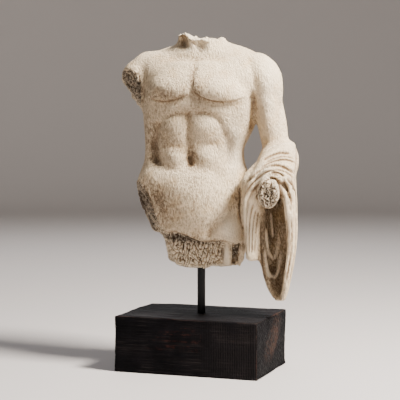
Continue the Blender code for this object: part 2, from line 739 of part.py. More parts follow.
def cut(obj, cutter):
    """Takes the cutter's shape out of the object."""
    boolean = obj.modifiers.new("bore", "BOOLEAN")
    boolean.operation = "DIFFERENCE"
    boolean.solver = "EXACT"
    boolean.object = cutter


def add_block(folder):
    """The block: a box with rounded edges."""
    shape = bmesh.new()
    bmesh.ops.create_cube(shape, size=1.0)
    for vert in shape.verts:
        x, y, z = vert.co
        vert.co = Vector((x * BLOCK_WIDTH, y * BLOCK_DEPTH, (z + 0.5) * BLOCK_HEIGHT))
    bmesh.ops.bevel(
        shape, geom=list(shape.edges), offset=BLOCK_EDGE, segments=2, profile=0.5, affect="EDGES"
    )
    mesh = bpy.data.meshes.new("block")
    shape.to_mesh(mesh)
    shape.free()
    return add_object("block", mesh, folder)


def main():
    clear_scene()
    scene = bpy.context.scene.collection
    parts = bpy.data.collections.new("torso_on_stand")
    cutters = bpy.data.collections.new("cutters")
    scene.children.link(parts)
    scene.children.link(cutters)

    torso = add_object("torso", torso_mesh(), parts, (0, 0, UNDERSIDE))
    torso.data.calc_loop_triangles()
    thin = torso.modifiers.new("facets", "DECIMATE")
    thin.ratio = TRIANGLES / len(torso.data.loop_triangles)
    block = add_block(parts)

    rod_radius = ROD_DIAMETER / 2
    rod_bottom = BLOCK_HEIGHT - ROD_IN_BLOCK
    rod_top = UNDERSIDE + ROD_IN_FIGURE
    rod = add_cylinder("rod", rod_radius, rod_bottom, rod_top, parts, ROD_SIDES, ROD_RIM)
    bore_radius = (rod_radius + CLEARANCE) / math.cos(math.pi / ROD_SIDES)
    for obj, bottom, top in (
        (torso, UNDERSIDE - ROD_SHOWN / 2, rod_top + CLEARANCE),
        (block, rod_bottom - CLEARANCE, BLOCK_HEIGHT + ROD_SHOWN / 2),
    ):
        cutter = add_cylinder(obj.name + "_bore", bore_radius, bottom, top, cutters, ROD_SIDES)
        cutter.hide_render = True
        cutter.display_type = "WIRE"
        cut(obj, cutter)

    give_material(torso, "aged_resin", (0.66, 0.58, 0.45), 0.75, 0.0)
    give_material(rod, "black_steel", (0.012, 0.012, 0.014), 0.38, 0.8)
    give_material(block, "black_wood", (0.022, 0.015, 0.014), 0.5, 0.0)


if __name__ == "__main__":
    main()
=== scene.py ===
import math

import bmesh
import bpy
import numpy as np
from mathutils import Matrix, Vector, noise
from mathutils.bvhtree import BVHTree


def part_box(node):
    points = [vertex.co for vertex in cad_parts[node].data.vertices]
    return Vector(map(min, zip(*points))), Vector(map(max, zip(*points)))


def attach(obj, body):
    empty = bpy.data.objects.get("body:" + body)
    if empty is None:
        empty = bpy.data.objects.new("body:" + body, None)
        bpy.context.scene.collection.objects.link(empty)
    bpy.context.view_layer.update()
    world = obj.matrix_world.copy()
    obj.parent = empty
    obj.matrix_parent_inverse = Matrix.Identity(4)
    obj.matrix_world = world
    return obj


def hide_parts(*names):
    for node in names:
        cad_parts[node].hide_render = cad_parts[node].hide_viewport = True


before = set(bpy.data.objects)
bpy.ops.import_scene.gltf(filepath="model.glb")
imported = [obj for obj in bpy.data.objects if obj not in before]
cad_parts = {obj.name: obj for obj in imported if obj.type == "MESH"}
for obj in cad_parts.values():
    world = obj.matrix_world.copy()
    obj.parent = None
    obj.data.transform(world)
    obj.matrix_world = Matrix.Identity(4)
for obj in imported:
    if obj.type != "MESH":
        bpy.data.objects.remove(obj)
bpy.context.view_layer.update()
scene = bpy.context.scene
print("frame loaded:", ", ".join(sorted(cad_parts)))

# The camera, the cove and the lamps.
studio = {
    "cameraAt": (0.7181, -2.0456, 0.4036),
    "turn": 19.4,  # degrees to the right of straight in front
    "drop": 3.73,
    "lens": 126,
    "sensor": 36,
    "coveRadius": 3.4,
    "coveBend": 1.0,
    "bendSteps": 12,
    "coveRise": 2.6,
    "coveSides": 96,
    "coveColour": (0.52, 0.485, 0.472),
    "coveRoughness": 0.9,
    "skyColour": (0.92, 0.94, 1.0),
    "skyStrength": 0.085,
    "lampAim": (0, 0, 0.3),
    # azimuth, elevation, distance, size, power, colour
    "lamps": {
        "keyLamp": (76, 48, 1.7, 0.42, 158, (1.0, 0.945, 0.87)),
        "frontLamp": (30, 20, 2.2, 1.3, 2, (1.0, 0.96, 0.92)),
        "backLamp": (205, 38, 2.3, 1.6, 24, (0.97, 0.97, 1.0)),
    },
}


def placed(name, data):
    obj = bpy.data.objects.new(name, data)
    scene.collection.objects.link(obj)
    return obj


def meshFrom(shape, name):
    mesh = bpy.data.meshes.new(name)
    shape.to_mesh(mesh)
    shape.free()
    return mesh


def outward(azimuth, elevation):
    a, e = math.radians(azimuth), math.radians(elevation)
    return Vector((math.sin(a) * math.cos(e), -math.cos(a) * math.cos(e), math.sin(e)))


def lookAt(obj, spot):
    ahead = Vector(spot) - obj.location
    obj.rotation_euler = ahead.to_track_quat("-Z", "Y").to_euler()


def makeCamera(values):
    camera = placed("camera", bpy.data.cameras.new("camera"))
    camera.data.lens = values["lens"]
    camera.data.sensor_width = values["sensor"]
    camera.location = values["cameraAt"]
    lookAt(camera, camera.location - outward(values["turn"], values["drop"]))
    scene.camera = camera


def makeLamps(values):
    aim = Vector(values["lampAim"])
    for name, (azimuth, elevation, distance, size, power, colour) in values["lamps"].items():
        lamp = bpy.data.lights.new(name, "AREA")
        lamp.size, lamp.energy, lamp.color = size, power, colour
        obj = placed(name, lamp)
        obj.location = aim + outward(azimuth, elevation) * distance
        lookAt(obj, aim)
    world = bpy.data.worlds.new("studio")
    world.use_nodes = True
    sky = world.node_tree.nodes["Background"]
    sky.inputs["Color"].default_value = (*values["skyColour"], 1)
    sky.inputs["Strength"].default_value = values["skyStrength"]
    scene.world = world


def makeCove(values):
    radius, bend, steps = values["coveRadius"], values["coveBend"], values["bendSteps"]
    shape = bmesh.new()
    line = [shape.verts.new((0, 0, 0)), shape.verts.new((radius, 0, 0))]
    for step in range(1, steps + 1):
        angle = math.radians(90 * step / steps)
        line.append(shape.verts.new((radius + bend * math.sin(angle), 0, bend * (1 - math.cos(angle)))))
    line.append(shape.verts.new((radius + bend, 0, values["coveRise"])))
    edges = [shape.edges.new(pair) for pair in zip(line, line[1:])]
    bmesh.ops.spin(shape, geom=line + edges, cent=(0, 0, 0), axis=(0, 0, 1),
                   angle=math.tau, steps=values["coveSides"], use_merge=True)
    bmesh.ops.remove_doubles(shape, verts=shape.verts, dist=1e-5)
    bmesh.ops.recalc_face_normals(shape, faces=shape.faces)
    mesh = meshFrom(shape, "cove")
    mesh.shade_smooth()
    cove = placed("cove", mesh)
    plain = bpy.data.materials.new("coveGrey")
    plain.use_nodes = True
    shader = plain.node_tree.nodes["Principled BSDF"]
    shader.inputs["Base Color"].default_value = (*values["coveColour"], 1)
    shader.inputs["Roughness"].default_value = values["coveRoughness"]
    mesh.materials.append(plain)


makeCamera(studio)
makeLamps(studio)
makeCove(studio)
print("studio set")


# Helpers for node materials.
def addNode(tree, kind, **settings):
    node = tree.nodes.new(kind)
    node.location = (200 * (len(tree.nodes) % 8), -180 * (len(tree.nodes) // 8))
    for name, value in settings.items():
        setattr(node, name, value)
    return node


def feed(socket, value):
    if isinstance(value, bpy.types.NodeSocket):
        socket.id_data.links.new(value, socket)
    else:
        socket.default_value = value


def feedAll(node, values):
    for name, value in values.items():
        feed(node.inputs[name], value)
    return node.outputs


# The node tree that the values' sockets belong to.
def treeOf(*values):
    return next(value.id_data for value in values if isinstance(value, bpy.types.NodeSocket))


def mixed(factor, first, second):
    node = addNode(treeOf(factor, first, second), "ShaderNodeMix", data_type="RGBA")
    for socket, value in ((node.inputs[0], factor), (node.inputs[6], first), (node.inputs[7], second)):
        feed(socket, (*value, 1) if isinstance(value, tuple) else value)
    return node.outputs[2]


def calc(operation, first, second=0.0, third=0.0, clamp=False):
    node = addNode(treeOf(first, second, third), "ShaderNodeMath", operation=operation, use_clamp=clamp)
    for socket, value in zip(node.inputs, (first, second, third)):
        feed(socket, value)
    return node.outputs[0]


def times(first, second):
    return calc("MULTIPLY", first, second)


# The start and each mask times its weight.
def summed(start, masks, weights):
    for name, weight in weights.items():
        start = calc("MULTIPLY_ADD", masks[name], weight, start)
    return start


# The tint over the colour, as much of it as the share of the mask.
def tinted(colour, tint, mask, share):
    return mixed(times(mask, share), colour, tint)


def spread(value, low, high, newLow=0.0, newHigh=1.0):
    node = addNode(value.id_data, "ShaderNodeMapRange", interpolation_type="SMOOTHSTEP")
    for socket, number in zip(node.inputs, (value, low, high, newLow, newHigh)):
        feed(socket, number)
    return node.outputs[0]


def aboutHalf(value, width):
    return spread(value, calc("SUBTRACT", 0.5, width), calc("ADD", 0.5, width))


def speckle(vector, scale, detail=2.0, roughness=0.5):
    node = addNode(vector.id_data, "ShaderNodeTexNoise")
    return feedAll(node, {"Vector": vector, "Scale": scale, "Detail": detail, "Roughness": roughness})["Fac"]


def bumped(height, strength, distance):
    node = addNode(height.id_data, "ShaderNodeBump")
    return feedAll(node, {"Strength": strength, "Distance": distance, "Height": height})["Normal"]


def stored(tree, name):
    return addNode(tree, "ShaderNodeAttribute", attribute_name=name).outputs["Fac"]


def newMaterial(name):
    material = bpy.data.materials.new(name)
    material.use_nodes = True
    tree = material.node_tree
    place = addNode(tree, "ShaderNodeTexCoord").outputs["Object"]
    return material, tree, tree.nodes["Principled BSDF"], place


def newGroup(name, inputs, outputs):
    tree = bpy.data.node_groups.new(name, "ShaderNodeTree")
    for label, kind, value in inputs:
        socket = tree.interface.new_socket(label, in_out="INPUT", socket_type="NodeSocket" + kind)
        if value is not None:
            socket.default_value = value
    for label, kind in outputs:
        tree.interface.new_socket(label, in_out="OUTPUT", socket_type="NodeSocket" + kind)
    return tree, tree.nodes.new("NodeGroupInput").outputs, tree.nodes.new("NodeGroupOutput").inputs


def useGroup(group, **values):
    return feedAll(addNode(treeOf(*values.values()), "ShaderNodeGroup", node_tree=group), values)


# Long thin marks: wire brush, chisel or wood grain. A small number in Stretch draws them out that way.
def makeStreakGroup():
    tree, ins, outs = newGroup(
        "streaks",
        [("Vector", "Vector", None), ("Stretch", "Vector", (300.0, 300.0, 40.0)), ("Contrast", "Float", 0.2)],
        [("Lines", "Float")],
    )
    scaled = addNode(tree, "ShaderNodeVectorMath", operation="MULTIPLY")
    feed(scaled.inputs[0], ins["Vector"])
    feed(scaled.inputs[1], ins["Stretch"])
    lines = speckle(scaled.outputs[0], 1.0, 3.0, 0.6)
    feed(outs["Lines"], aboutHalf(lines, ins["Contrast"]))
    return tree


# A mask that breaks up into specks at its rim: wash in hollows, paint rubbed off edges, dust.
def makeSpeckGroup():
    tree, ins, outs = newGroup(
        "specks",
        [("Vector", "Vector", None), ("Amount", "Float", 0.5), ("Scale", "Float", 200.0),
         ("Spread", "Float", 0.5), ("Softness", "Float", 0.15)],
        [("Mask", "Float")],
    )
    offset = calc("SUBTRACT", speckle(ins["Vector"], ins["Scale"], 4.0), 0.5)
    value = calc("MULTIPLY_ADD", offset, ins["Spread"], ins["Amount"])
    feed(outs["Mask"], aboutHalf(value, ins["Softness"]))
    return tree


streakGroup = makeStreakGroup()
speckGroup = makeSpeckGroup()
print("shared node groups made")


def streaks(vector, stretch, contrast):
    return useGroup(streakGroup, Vector=vector, Stretch=stretch, Contrast=contrast)["Lines"]


def specks(vector, amount, scale, scatter, softness):
    values = {"Vector": vector, "Amount": amount, "Scale": scale, "Spread": scatter, "Softness": softness}
    return useGroup(speckGroup, **values)["Mask"]


def finishPiece(name, mesh, node, material):
    mesh.name = name
    mesh.materials.clear()
    mesh.materials.append(material)
    mesh.shade_smooth()
    piece = placed(name, mesh)
    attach(piece, "root")
    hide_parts(node)
    return piece


# The figure: the solid's form again in fine clay, with its edges sharpened, its broken faces
# chiselled and its cloth folded. Lengths are in millimetres, heights from the underside.
# A path on the side "eye" is traced from the camera, in a picture this many pixels wide and high.
pictureSize = 400
figure = {
    "underside": 157,
    "clayGrain": 0.00115,
    "softening": 7,
    "evening": 60,  # rounds that smooth the solid's own valleys
    "triangles": 188000,
    "boreRadius": 6.6,
    "boreTop": 55,
    "valleyWidth": 1.7,
    "valleyDepth": 1.9,
    "rimRagged": (2.6, 0.14),  # how far the broken faces' rims wander, and how often
    "chiselDepth": 1.0,
    "inset": 2.0,
    "brushDepth": 0.24,
    "brushGrain": (3.2, 3.2, 12),
    "pockGrain": (5.0, 5.0, 6.5),
    "shelterReach": 70.0,
    "shelterRays": 14,
    # Masks of the relief: rounds of smoothing after the last, and the depth that fills the mask.
    "levels": [("pit", 3, 0.35), ("hollow", 16, 2.2), ("valley", 90, 6.0)],
    # A spot and the outward normal of each broken face, and the corners of the box it lies in.
    "breaks": [
        ((3, 0, 358), (0.02, -0.06, 1), (-80, -70, 335), (80, 70, 400)),
        ((-110, -8, 270), (-0.56, -0.75, -0.35), (-200, -90, 228), (-93, 90, 303)),
        ((-133, 0, 292), (-0.72, -0.35, -0.57), (-200, -90, 228), (-93, 90, 306)),
        ((-67, -45, 98), (-0.74, -0.55, -0.38), (-200, -90, -20), (0, 90, 150)),
        ((-90, 10, 69), (-0.84, -0.30, -0.45), (-200, -90, -20), (0, 90, 140)),
        ((-50, -38, 30), (-0.97, -0.20, -0.10), (-200, -90, -20), (0, 90, 52)),
        ((131, -76, 120), (0.25, -0.95, -0.12), (112, -120, 88), (151, -66, 146)),
        ((139, -73, 127), (0.72, -0.62, 0.3), (112, -120, 88), (153, -68, 148)),
        ((0, 0, 3), (0, 0, -1), (-90, -90, -20), (88, 90, 20)),
        ((-48, -38, 12), (-0.25, -0.10, -1), (-90, -90, -20), (0, 90, 30)),
        ((50, -25, 9), (0.12, -0.15, -1), (20, -90, -20), (88, 90, 30)),
    ],
    # Where the hip's broken face ends towards the belly: height and x. The box that this holds for.
    "hipEdge": [(62, -51), (80, -58), (100, -65), (118, -70), (134, -74), (150, -80)],
    "hipBox": ((-200, -200, 62), (-40, 10, 150)),
    # The lower edge of the belly's skin: x and height. The box of the broken face under it.
    "skinEdge": [(-60, 58), (-44, 60), (-24, 58), (-13, 56), (-3, 51), (8, 47), (17, 44), (35, 46),
                 (47, 47), (61, 43), (90, 42)],
    "edgeBox": ((-62, -200, -100), (84, 0, 64)),
    # How far the neck's broken rim dips: x and depth. Then the heights where that starts and is full.
    "neckDip": [(-45, 0), (-34, 0), (-22, -1.2), (-13, 3), (0, 2.2), (12, 3), (19, 3.8), (26, 5.6),
                (33, 3), (41, 1.4), (50, 4), (58, 8)],
    "neckRim": (343, 357),
    "neckHalf": 62,
    "neckPit": ((183.4, 42.8), 9.5, 2.8),
    "neckSwell": ((201, 46), (13, 9), 2.6),
}

# The body's furrows: path, width and depth.
skinMarks = [
    ([(196, 60), (195, 66), (193, 74), (191.6, 83), (192, 91)], 3.4, 1.5),
    ([(192, 89), (198.5, 95.3), (207, 99.4), (215.4, 101.3), (225, 102.3), (235, 101.4), (246, 97)],
     2.4, 1.6),
    ([(145, 86), (148, 93), (152.4, 98.9), (161, 101.5), (170.6, 101), (180.3, 98), (188, 93.5)], 2.6, 1.5),
    ([(188.5, 109), (188, 120), (188, 134), (188.8, 146), (189.4, 158), (190, 169)], 5.4, 2.0),
    ([(190.8, 150), (191, 159), (190.6, 168)], 5.4, 1.3),
    ([(158, 132), (160.4, 124), (166, 118), (175.4, 114.6), (185, 113.4)], 3.6, 1.0),
    ([(191, 113.6), (204.5, 113.6), (214, 117), (220.5, 124), (224, 134)], 3.6, 1.0),
    ([(156, 116), (154, 130), (153.6, 146), (155.6, 158), (160, 169)], 8.5, 2.9),
    ([(223.4, 128), (227.5, 144), (229, 157), (228, 169)], 5.6, 1.7),
    ([(233, 203), (229.5, 213), (222, 219), (214.6, 226), (210, 233), (207, 240)], 4.2, 2.2),
    ([(253, 90), (253.5, 104), (253, 118), (251.5, 131)], 4.0, 1.8),
    ([(249, 57), (250.6, 65), (252.4, 73.5), (253.6, 83), (252.6, 90)], 3.6, 1.0),
    ([(160, 145.5), (170, 147), (184, 147)], 3.4, 0.6),
    ([(194, 143), (206, 143), (220, 144)], 3.4, 0.6),
    ([(227, 119), (232, 114), (236, 107)], 2.6, 0.7),
    ([(233, 130), (238, 123), (243, 114)], 2.8, 0.9),
    ([(236, 143), (241, 136), (246, 127)], 2.8, 0.9),
    ([(146, 113), (150, 116), (155, 117)], 2.6, 0.8),
    ([(145, 125), (149, 128), (153, 130)], 2.6, 0.8),
    ([(163, 170), (176, 171.6), (190, 172), (206, 171.6), (222, 170)], 4.0, 0.8),
]

# Two lines of the neck's notch, then the strip and the recess under the broken edge. The last number
# is the share of the path that it takes to reach its depth.
edgeMarks = [
    ([(191.5, 41), (195, 45.6), (198, 49.6), (200.2, 53)], 1.9, 2.2, 0.1),
    ([(208.4, 41.8), (205.4, 46), (202.6, 50), (200.6, 53)], 1.7, 1.5, 0.1),
    ([(234, 244), (233.8, 256), (233.8, 268)], 3.4, 2.6, 0.08),
    ([(222.6, 244), (222.2, 256), (222, 268)], 1.6, 1.6, 0.08),
]

# Where the solid's own valleys are smoothed first: spot, radii and lean.
softSpots = [
    ((154, 138), (12, 38), 0), ((189, 140), (9, 38), 0), ((170, 120), (22, 11), -8),
    ((210, 120), (22, 11), 10), ((228, 150), (9, 26), 0), ((222, 221), (24, 14), -56),
    ((143, 70), (9, 24), 0), ((251, 76), (9, 26), 0), ((253, 112), (6, 26), 0), ((195, 52), (34, 7), 0),
    ((203, 46), (8, 6), 0),
]

# Muscles that stand up a little more: spot, radii, height and lean, in the same picture.
skinSwells = [
    ((166, 88), (24, 14), 2.4, 6), ((217, 90), (26, 15), 2.6, 4), ((174, 130), (15, 18), 1.8, 0),
    ((206, 129), (17, 18), 1.8, 0), ((174, 158), (14, 12), 1.6, 0), ((208, 157), (17, 13), 1.6, 0),
    ((239, 136), (7, 14), 1.4, 24), ((190, 188), (42, 20), 2.0, 0), ((268, 84), (14, 34), 1.6, -6),
]

# Where brown is painted on: partly the wash that the resin holds, partly painted shade on the sides and
# undersides that turn from the key lamp, in the armpit, the recess, the cloak's hollow and beside the flap.
# Spot, radii, lean and amount, in the same picture.
shadeAndWashSpots = [
    ((166, 95), (24, 7.5), 4, 1.0), ((166, 88), (24, 9), 4, 0.5), ((196, 89), (8, 15), -10, 0.85),
    ((193, 78), (4.6, 13), 4, 1.1), ((195.5, 62), (5, 12), 6, 0.6), ((214, 98.5), (22, 5.5), 8, 0.6),
    ((160, 110), (15, 4.5), 6, 0.65), ((177, 113), (12, 3.5), -4, 0.55),
    ((203, 110), (14, 4.5), 14, 0.75), ((196, 102), (8, 7), 0, 0.4), ((255, 101), (5, 17), 0, 0.35),
    ((132, 84), (12, 26), -22, 0.75), ((141, 89), (5, 20), -8, 1.0), ((155.5, 152), (5, 19), 0, 1.15),
    ((154.5, 133), (4.5, 14), 0, 0.65), ((150, 143), (11, 34), 0, 0.75), ((150, 117), (8, 10), 0, 0.55),
    ((145, 150), (7, 20), 0, 0.4), ((189.8, 160), (4.4, 12), 0, 0.85), ((195, 152), (7, 19), 0, 0.75),
    ((193, 126), (6, 18), 0, 0.5), ((187, 130), (2.4, 22), 0, 0.4), ((228, 158), (4.5, 15), 0, 0.5),
    ((224, 134), (4, 14), -14, 0.4), ((166, 166), (16, 6), 0, 0.45), ((205, 166), (16, 5), 0, 0.3),
    ((156, 121), (7, 11), 0, 0.4), ((142, 203), (9, 34), -24, 1.0), ((141, 200), (7, 24), -24, 1.3),
    ((151, 222), (6, 14), -26, 1.0), ((157, 203), (17, 28), -24, 1.1), ((168, 204), (30, 32), -30, 0.7),
    ((186, 202), (48, 34), 0, 0.55), ((168, 140), (18, 30), 0, 0.75), ((175, 129), (9, 12), 0, 0.5),
    ((172, 160), (12, 9), 0, 0.35), ((205, 142), (20, 30), 0, 0.24), ((162, 74), (24, 22), 0, 0.4),
    ((227, 211), (6, 16), 34, 0.2), ((238.5, 196), (4.5, 16), 0, 0.45), ((190, 238), (34, 5), 4, 0.9),
    ((235, 255), (3.4, 14), 0, 0.7), ((243, 256), (4, 12), 0, 0.35), ((182, 243), (22, 4), 10, 0.5),
    ((268, 228), (9, 34), 0, 0.9), ((275, 276), (8, 24), 0, 0.85), ((262.5, 246), (4, 34), 0, 0.9),
    ((265.5, 279), (4.5, 14), -16, 0.8), ((281, 290), (4.5, 10), 12, 0.7),
    ((268.5, 196), (10, 13), 0, 0.65), ((280, 158), (20, 13), 0, 0.4), ((246, 190), (7, 16), 16, 0.3),
    ((190, 250), (36, 12), 0, 0.25), ((183.5, 43), (5, 5), 0, 0.5), ((196, 45.4), (3.6, 3.4), 0, 0.8),
    ((203.6, 45), (3.8, 3.4), 0, 0.65), ((200, 50), (2.8, 3.8), 0, 1.0), ((195, 56), (4, 5), 10, 0.5),
    ((168, 57), (14, 4), -6, 0.3),
]

# Painted light: spots where the wash is taken away again and the colour is paled, as on the thigh and the
# right flank, where the key lamp falls brightest. Spot, radii, lean and amount.
paintedLightSpots = [
    ((231, 227), (9, 12), 0, 1.0), ((227, 257), (3.4, 13), 0, 1.0), ((241, 224), (3, 4), 0, 0.8),
    ((234, 146), (7, 20), 0, 0.7), ((190, 44), (3, 7), 0, 0.8), ((200, 44), (9, 7), 0, 0.6),
    ((261, 174), (9, 6), -40, 1.0), ((250, 226), (6, 26), 0, 1.0), ((268, 82), (9, 30), 0, 0.4),
]

# Two strips under the broken edge that are smooth.
smoothSpots = [((227, 256), (4.2, 16), 0, 1.0), ((241.5, 255), (4.6, 13), 0, 0.8)]

# Valleys between the folds that sweep over the forearm and down to the curtain.
clothValleys = [
    ([(290.5, 154), (284.9, 153), (278.3, 153.2), (272.7, 155), (267, 157.6), (262.3, 161)], 1.4, 1.7),
    ([(295, 158.6), (288.6, 156.9), (282, 156.4), (276.5, 157.6), (270, 160.2), (264, 164)], 1.2, 1.2),
    ([(296.6, 163.8), (291, 160.8), (285, 159.4), (278, 160), (271, 162.2), (264, 166), (258, 170.4)],
     1.4, 1.7),
    ([(298, 178), (292, 171.8), (286, 168), (280.2, 165.6), (273.6, 165), (267, 166.4), (260, 170.6),
      (253, 176.4), (246.4, 183)], 1.6, 2.3),
    ([(297.4, 183), (292, 176.4), (286, 172), (279, 169.6), (272, 170.2), (265, 172.8), (258, 178),
      (251.6, 184.6), (246.4, 192), (243.6, 200)], 1.5, 1.8),
    ([(285, 177), (280, 173.8), (275, 172.6), (270, 173.4)], 1.4, 1.6),
    ([(261, 182), (255.4, 188), (250.8, 195), (247.6, 203), (246.2, 213)], 1.4, 1.1),
    ([(285.6, 177.4), (289.6, 181.4), (293.5, 187), (295.7, 193.4), (296.3, 201), (296.2, 215)], 1.6, 2.6),
    ([(281.4, 180.4), (284.2, 185), (287.9, 190.6), (290.4, 196.6), (291.3, 204), (290.8, 213)], 1.9, 3.4),
    # the curtain
    ([(250, 200), (247.6, 210), (246.4, 222), (246, 238), (246.2, 256)], 1.1, 1.4),
    ([(254.6, 201), (251.2, 212), (249.6, 226), (249, 240), (249, 257)], 1.3, 1.9),
    ([(256.2, 208), (253.8, 220), (252.4, 236), (251.8, 256)], 1.3, 2.2),
    ([(258.6, 210), (257, 222), (255.4, 238), (254.6, 255)], 1.2, 2.0),
    # the folded band outside the hollow
    ([(291, 216), (292.4, 232), (291.6, 250), (288.6, 268), (285.4, 284)], 1.2, 1.5),
    ([(295.4, 214), (296.2, 232), (295.2, 252), (291.6, 272), (287, 289)], 1.3, 1.8),
]

# Ridges: the cloak's upper edge, the arch round the stub, and the swags in the hollow.
clothRidges = [
    ([(264.5, 152.5), (268, 149.4), (274, 146), (281, 144.2), (289, 143.2), (294.5, 145)], 1.5, 0.9),
    ([(257, 193), (260.6, 186), (266, 179.6), (272, 176.2), (278, 177.4), (282.4, 182), (284.8, 190),
      (286, 201), (287.4, 213), (288.4, 226)], 1.5, 1.6),
    ([(241.6, 190), (242.4, 201), (241.8, 211), (243.2, 221), (246.2, 229)], 1.5, 1.7),
    ([(266.4, 226), (266.8, 240), (269.4, 253), (273.4, 258), (277.6, 250), (280, 234)], 3.0, 2.4),
    ([(264.6, 246), (266.4, 262), (270.6, 275), (275, 276), (279.6, 264), (282, 248)], 3.0, 2.2),
    ([(271, 212), (272, 226), (273.4, 238)], 2.6, 1.8),
]

# Where the flap's free edge stands off the thigh, and where the arch stands clear of the stub.
clothEdges = [
    ([(239, 188), (239.4, 200), (239, 212), (240.6, 223), (243.6, 232)], 1.6, 2.2, 0.16),
    ([(256.8, 201), (258.6, 191), (262.8, 184), (268, 179), (273, 178), (277.4, 181), (280.2, 187),
      (280.8, 196), (279.8, 206)], 2.0, 3.4, 0.08),
]

# Painted shade, with some dirt, along edges where shadow falls: round the stub, beside the flap, in the
# recess and along the belly's broken edge, under the chest, and inside the cloak's hollow.
shadeAndDirtLines = [
    ([(257, 203), (257.8, 195), (261, 187.4), (265.6, 181.6), (271, 178.2), (277, 179.6), (281, 185),
      (282.2, 193), (281.4, 202)], 1.5, 2.8),
    ([(270, 178), (275.4, 179.6), (279, 184.4), (280.2, 192), (279.6, 202)], 2.0, 3.0),
    ([(239.4, 188), (240, 200), (239.6, 212), (241.2, 223), (244.4, 232)], 1.5, 2.4),
    ([(233.4, 246), (233, 256), (233, 268)], 2.4, 2.4),
    ([(286.4, 216), (287.4, 236), (286, 256), (283, 274)], 1.4, 1.4),
    ([(165, 232), (174, 231.6), (183, 234), (191, 238), (200, 241.4), (211, 241.2), (222, 240.8),
      (231, 242)], 1.8, 0.9),
    ([(261, 218), (260.8, 240), (262.2, 262), (266, 284)], 2.2, 2.0),
    (skinMarks[1][0][:5], 1.5, 0.9),  # under the chest
    (skinMarks[2][0][1:6], 1.5, 0.6),
]

# Plainer folds where the photograph doesn't show them: side, path, width, depth.
hiddenFolds = [
    ("left", [(-36, 158), (-38, 104), (-41, 54), (-36, 6), (-27, -22)], 2.2, 2.0),
    ("left", [(-21, 170), (-22, 104), (-26, 52), (-24, 4), (-22, -26)], 2.4, 2.4),
    ("left", [(-5, 176), (-6, 104), (-10, 50), (-14, 6), (-17, -24)], 2.2, 2.0),
    ("left", [(12, 176), (11, 104), (7, 52), (0, 10), (-8, -14)], 2.4, 2.4),
    ("back", [(97, 160), (98, 104), (98, 60), (101, 26)], 2.2, 2.0),
    ("back", [(112, 174), (113, 110), (113, 56), (116, 12)], 2.4, 2.4),
    ("back", [(129, 178), (130, 112), (130, 54), (128, 4), (127, -20)], 2.4, 2.4),
    ("back", [(144, 172), (145, 110), (143, 56), (138, 6)], 2.2, 2.0),
    ("back", [(96, 190), (108, 193), (122, 184), (138, 166), (148, 148)], 2.4, 1.6),
    ("back", [(98, 176), (112, 178), (128, 164), (140, 144), (146, 126)], 2.4, 1.8),
    ("left", [(36, 190), (16, 184), (-6, 168), (-24, 146)], 2.4, 1.7),
    ("left", [(38, 172), (18, 166), (-4, 150), (-22, 126)], 2.4, 1.7),
]


def smoothPath(spots, step):
    spots = np.array(spots, float)
    lengths = np.linalg.norm(np.diff(spots, axis=0), axis=1)
    at = np.concatenate([[0.0], np.cumsum(lengths)])
    slopes = np.gradient(spots, at, axis=0)
    wanted = np.linspace(0, at[-1], max(4, int(at[-1] / step)))
    index = np.clip(np.searchsorted(at, wanted, "right") - 1, 0, len(at) - 2)
    gap = (at[index + 1] - at[index])[:, None]
    t = (wanted - at[index])[:, None] / gap
    return ((2 * t**3 - 3 * t**2 + 1) * spots[index] + (t**3 - 2 * t**2 + t) * gap * slopes[index]
            + (3 * t**2 - 2 * t**3) * spots[index + 1] + (t**3 - t**2) * gap * slopes[index + 1])


def eased(t):
    t = np.clip(t, 0, 1)
    return t * t * (3 - 2 * t)


def oval(seen, spot, radii, lean):
    # 0 in the middle of the leaning oval, 1 on its rim.
    across, down = seen[0] - spot[0], seen[1] - spot[1]
    c, s = math.cos(math.radians(lean)), math.sin(math.radians(lean))
    return ((across * c + down * s) / radii[0]) ** 2 + ((down * c - across * s) / radii[1]) ** 2


def inBox(points, low, high, room=0.0):
    return ((points > np.array(low) - room) & (points < np.array(high) + room)).all(1)


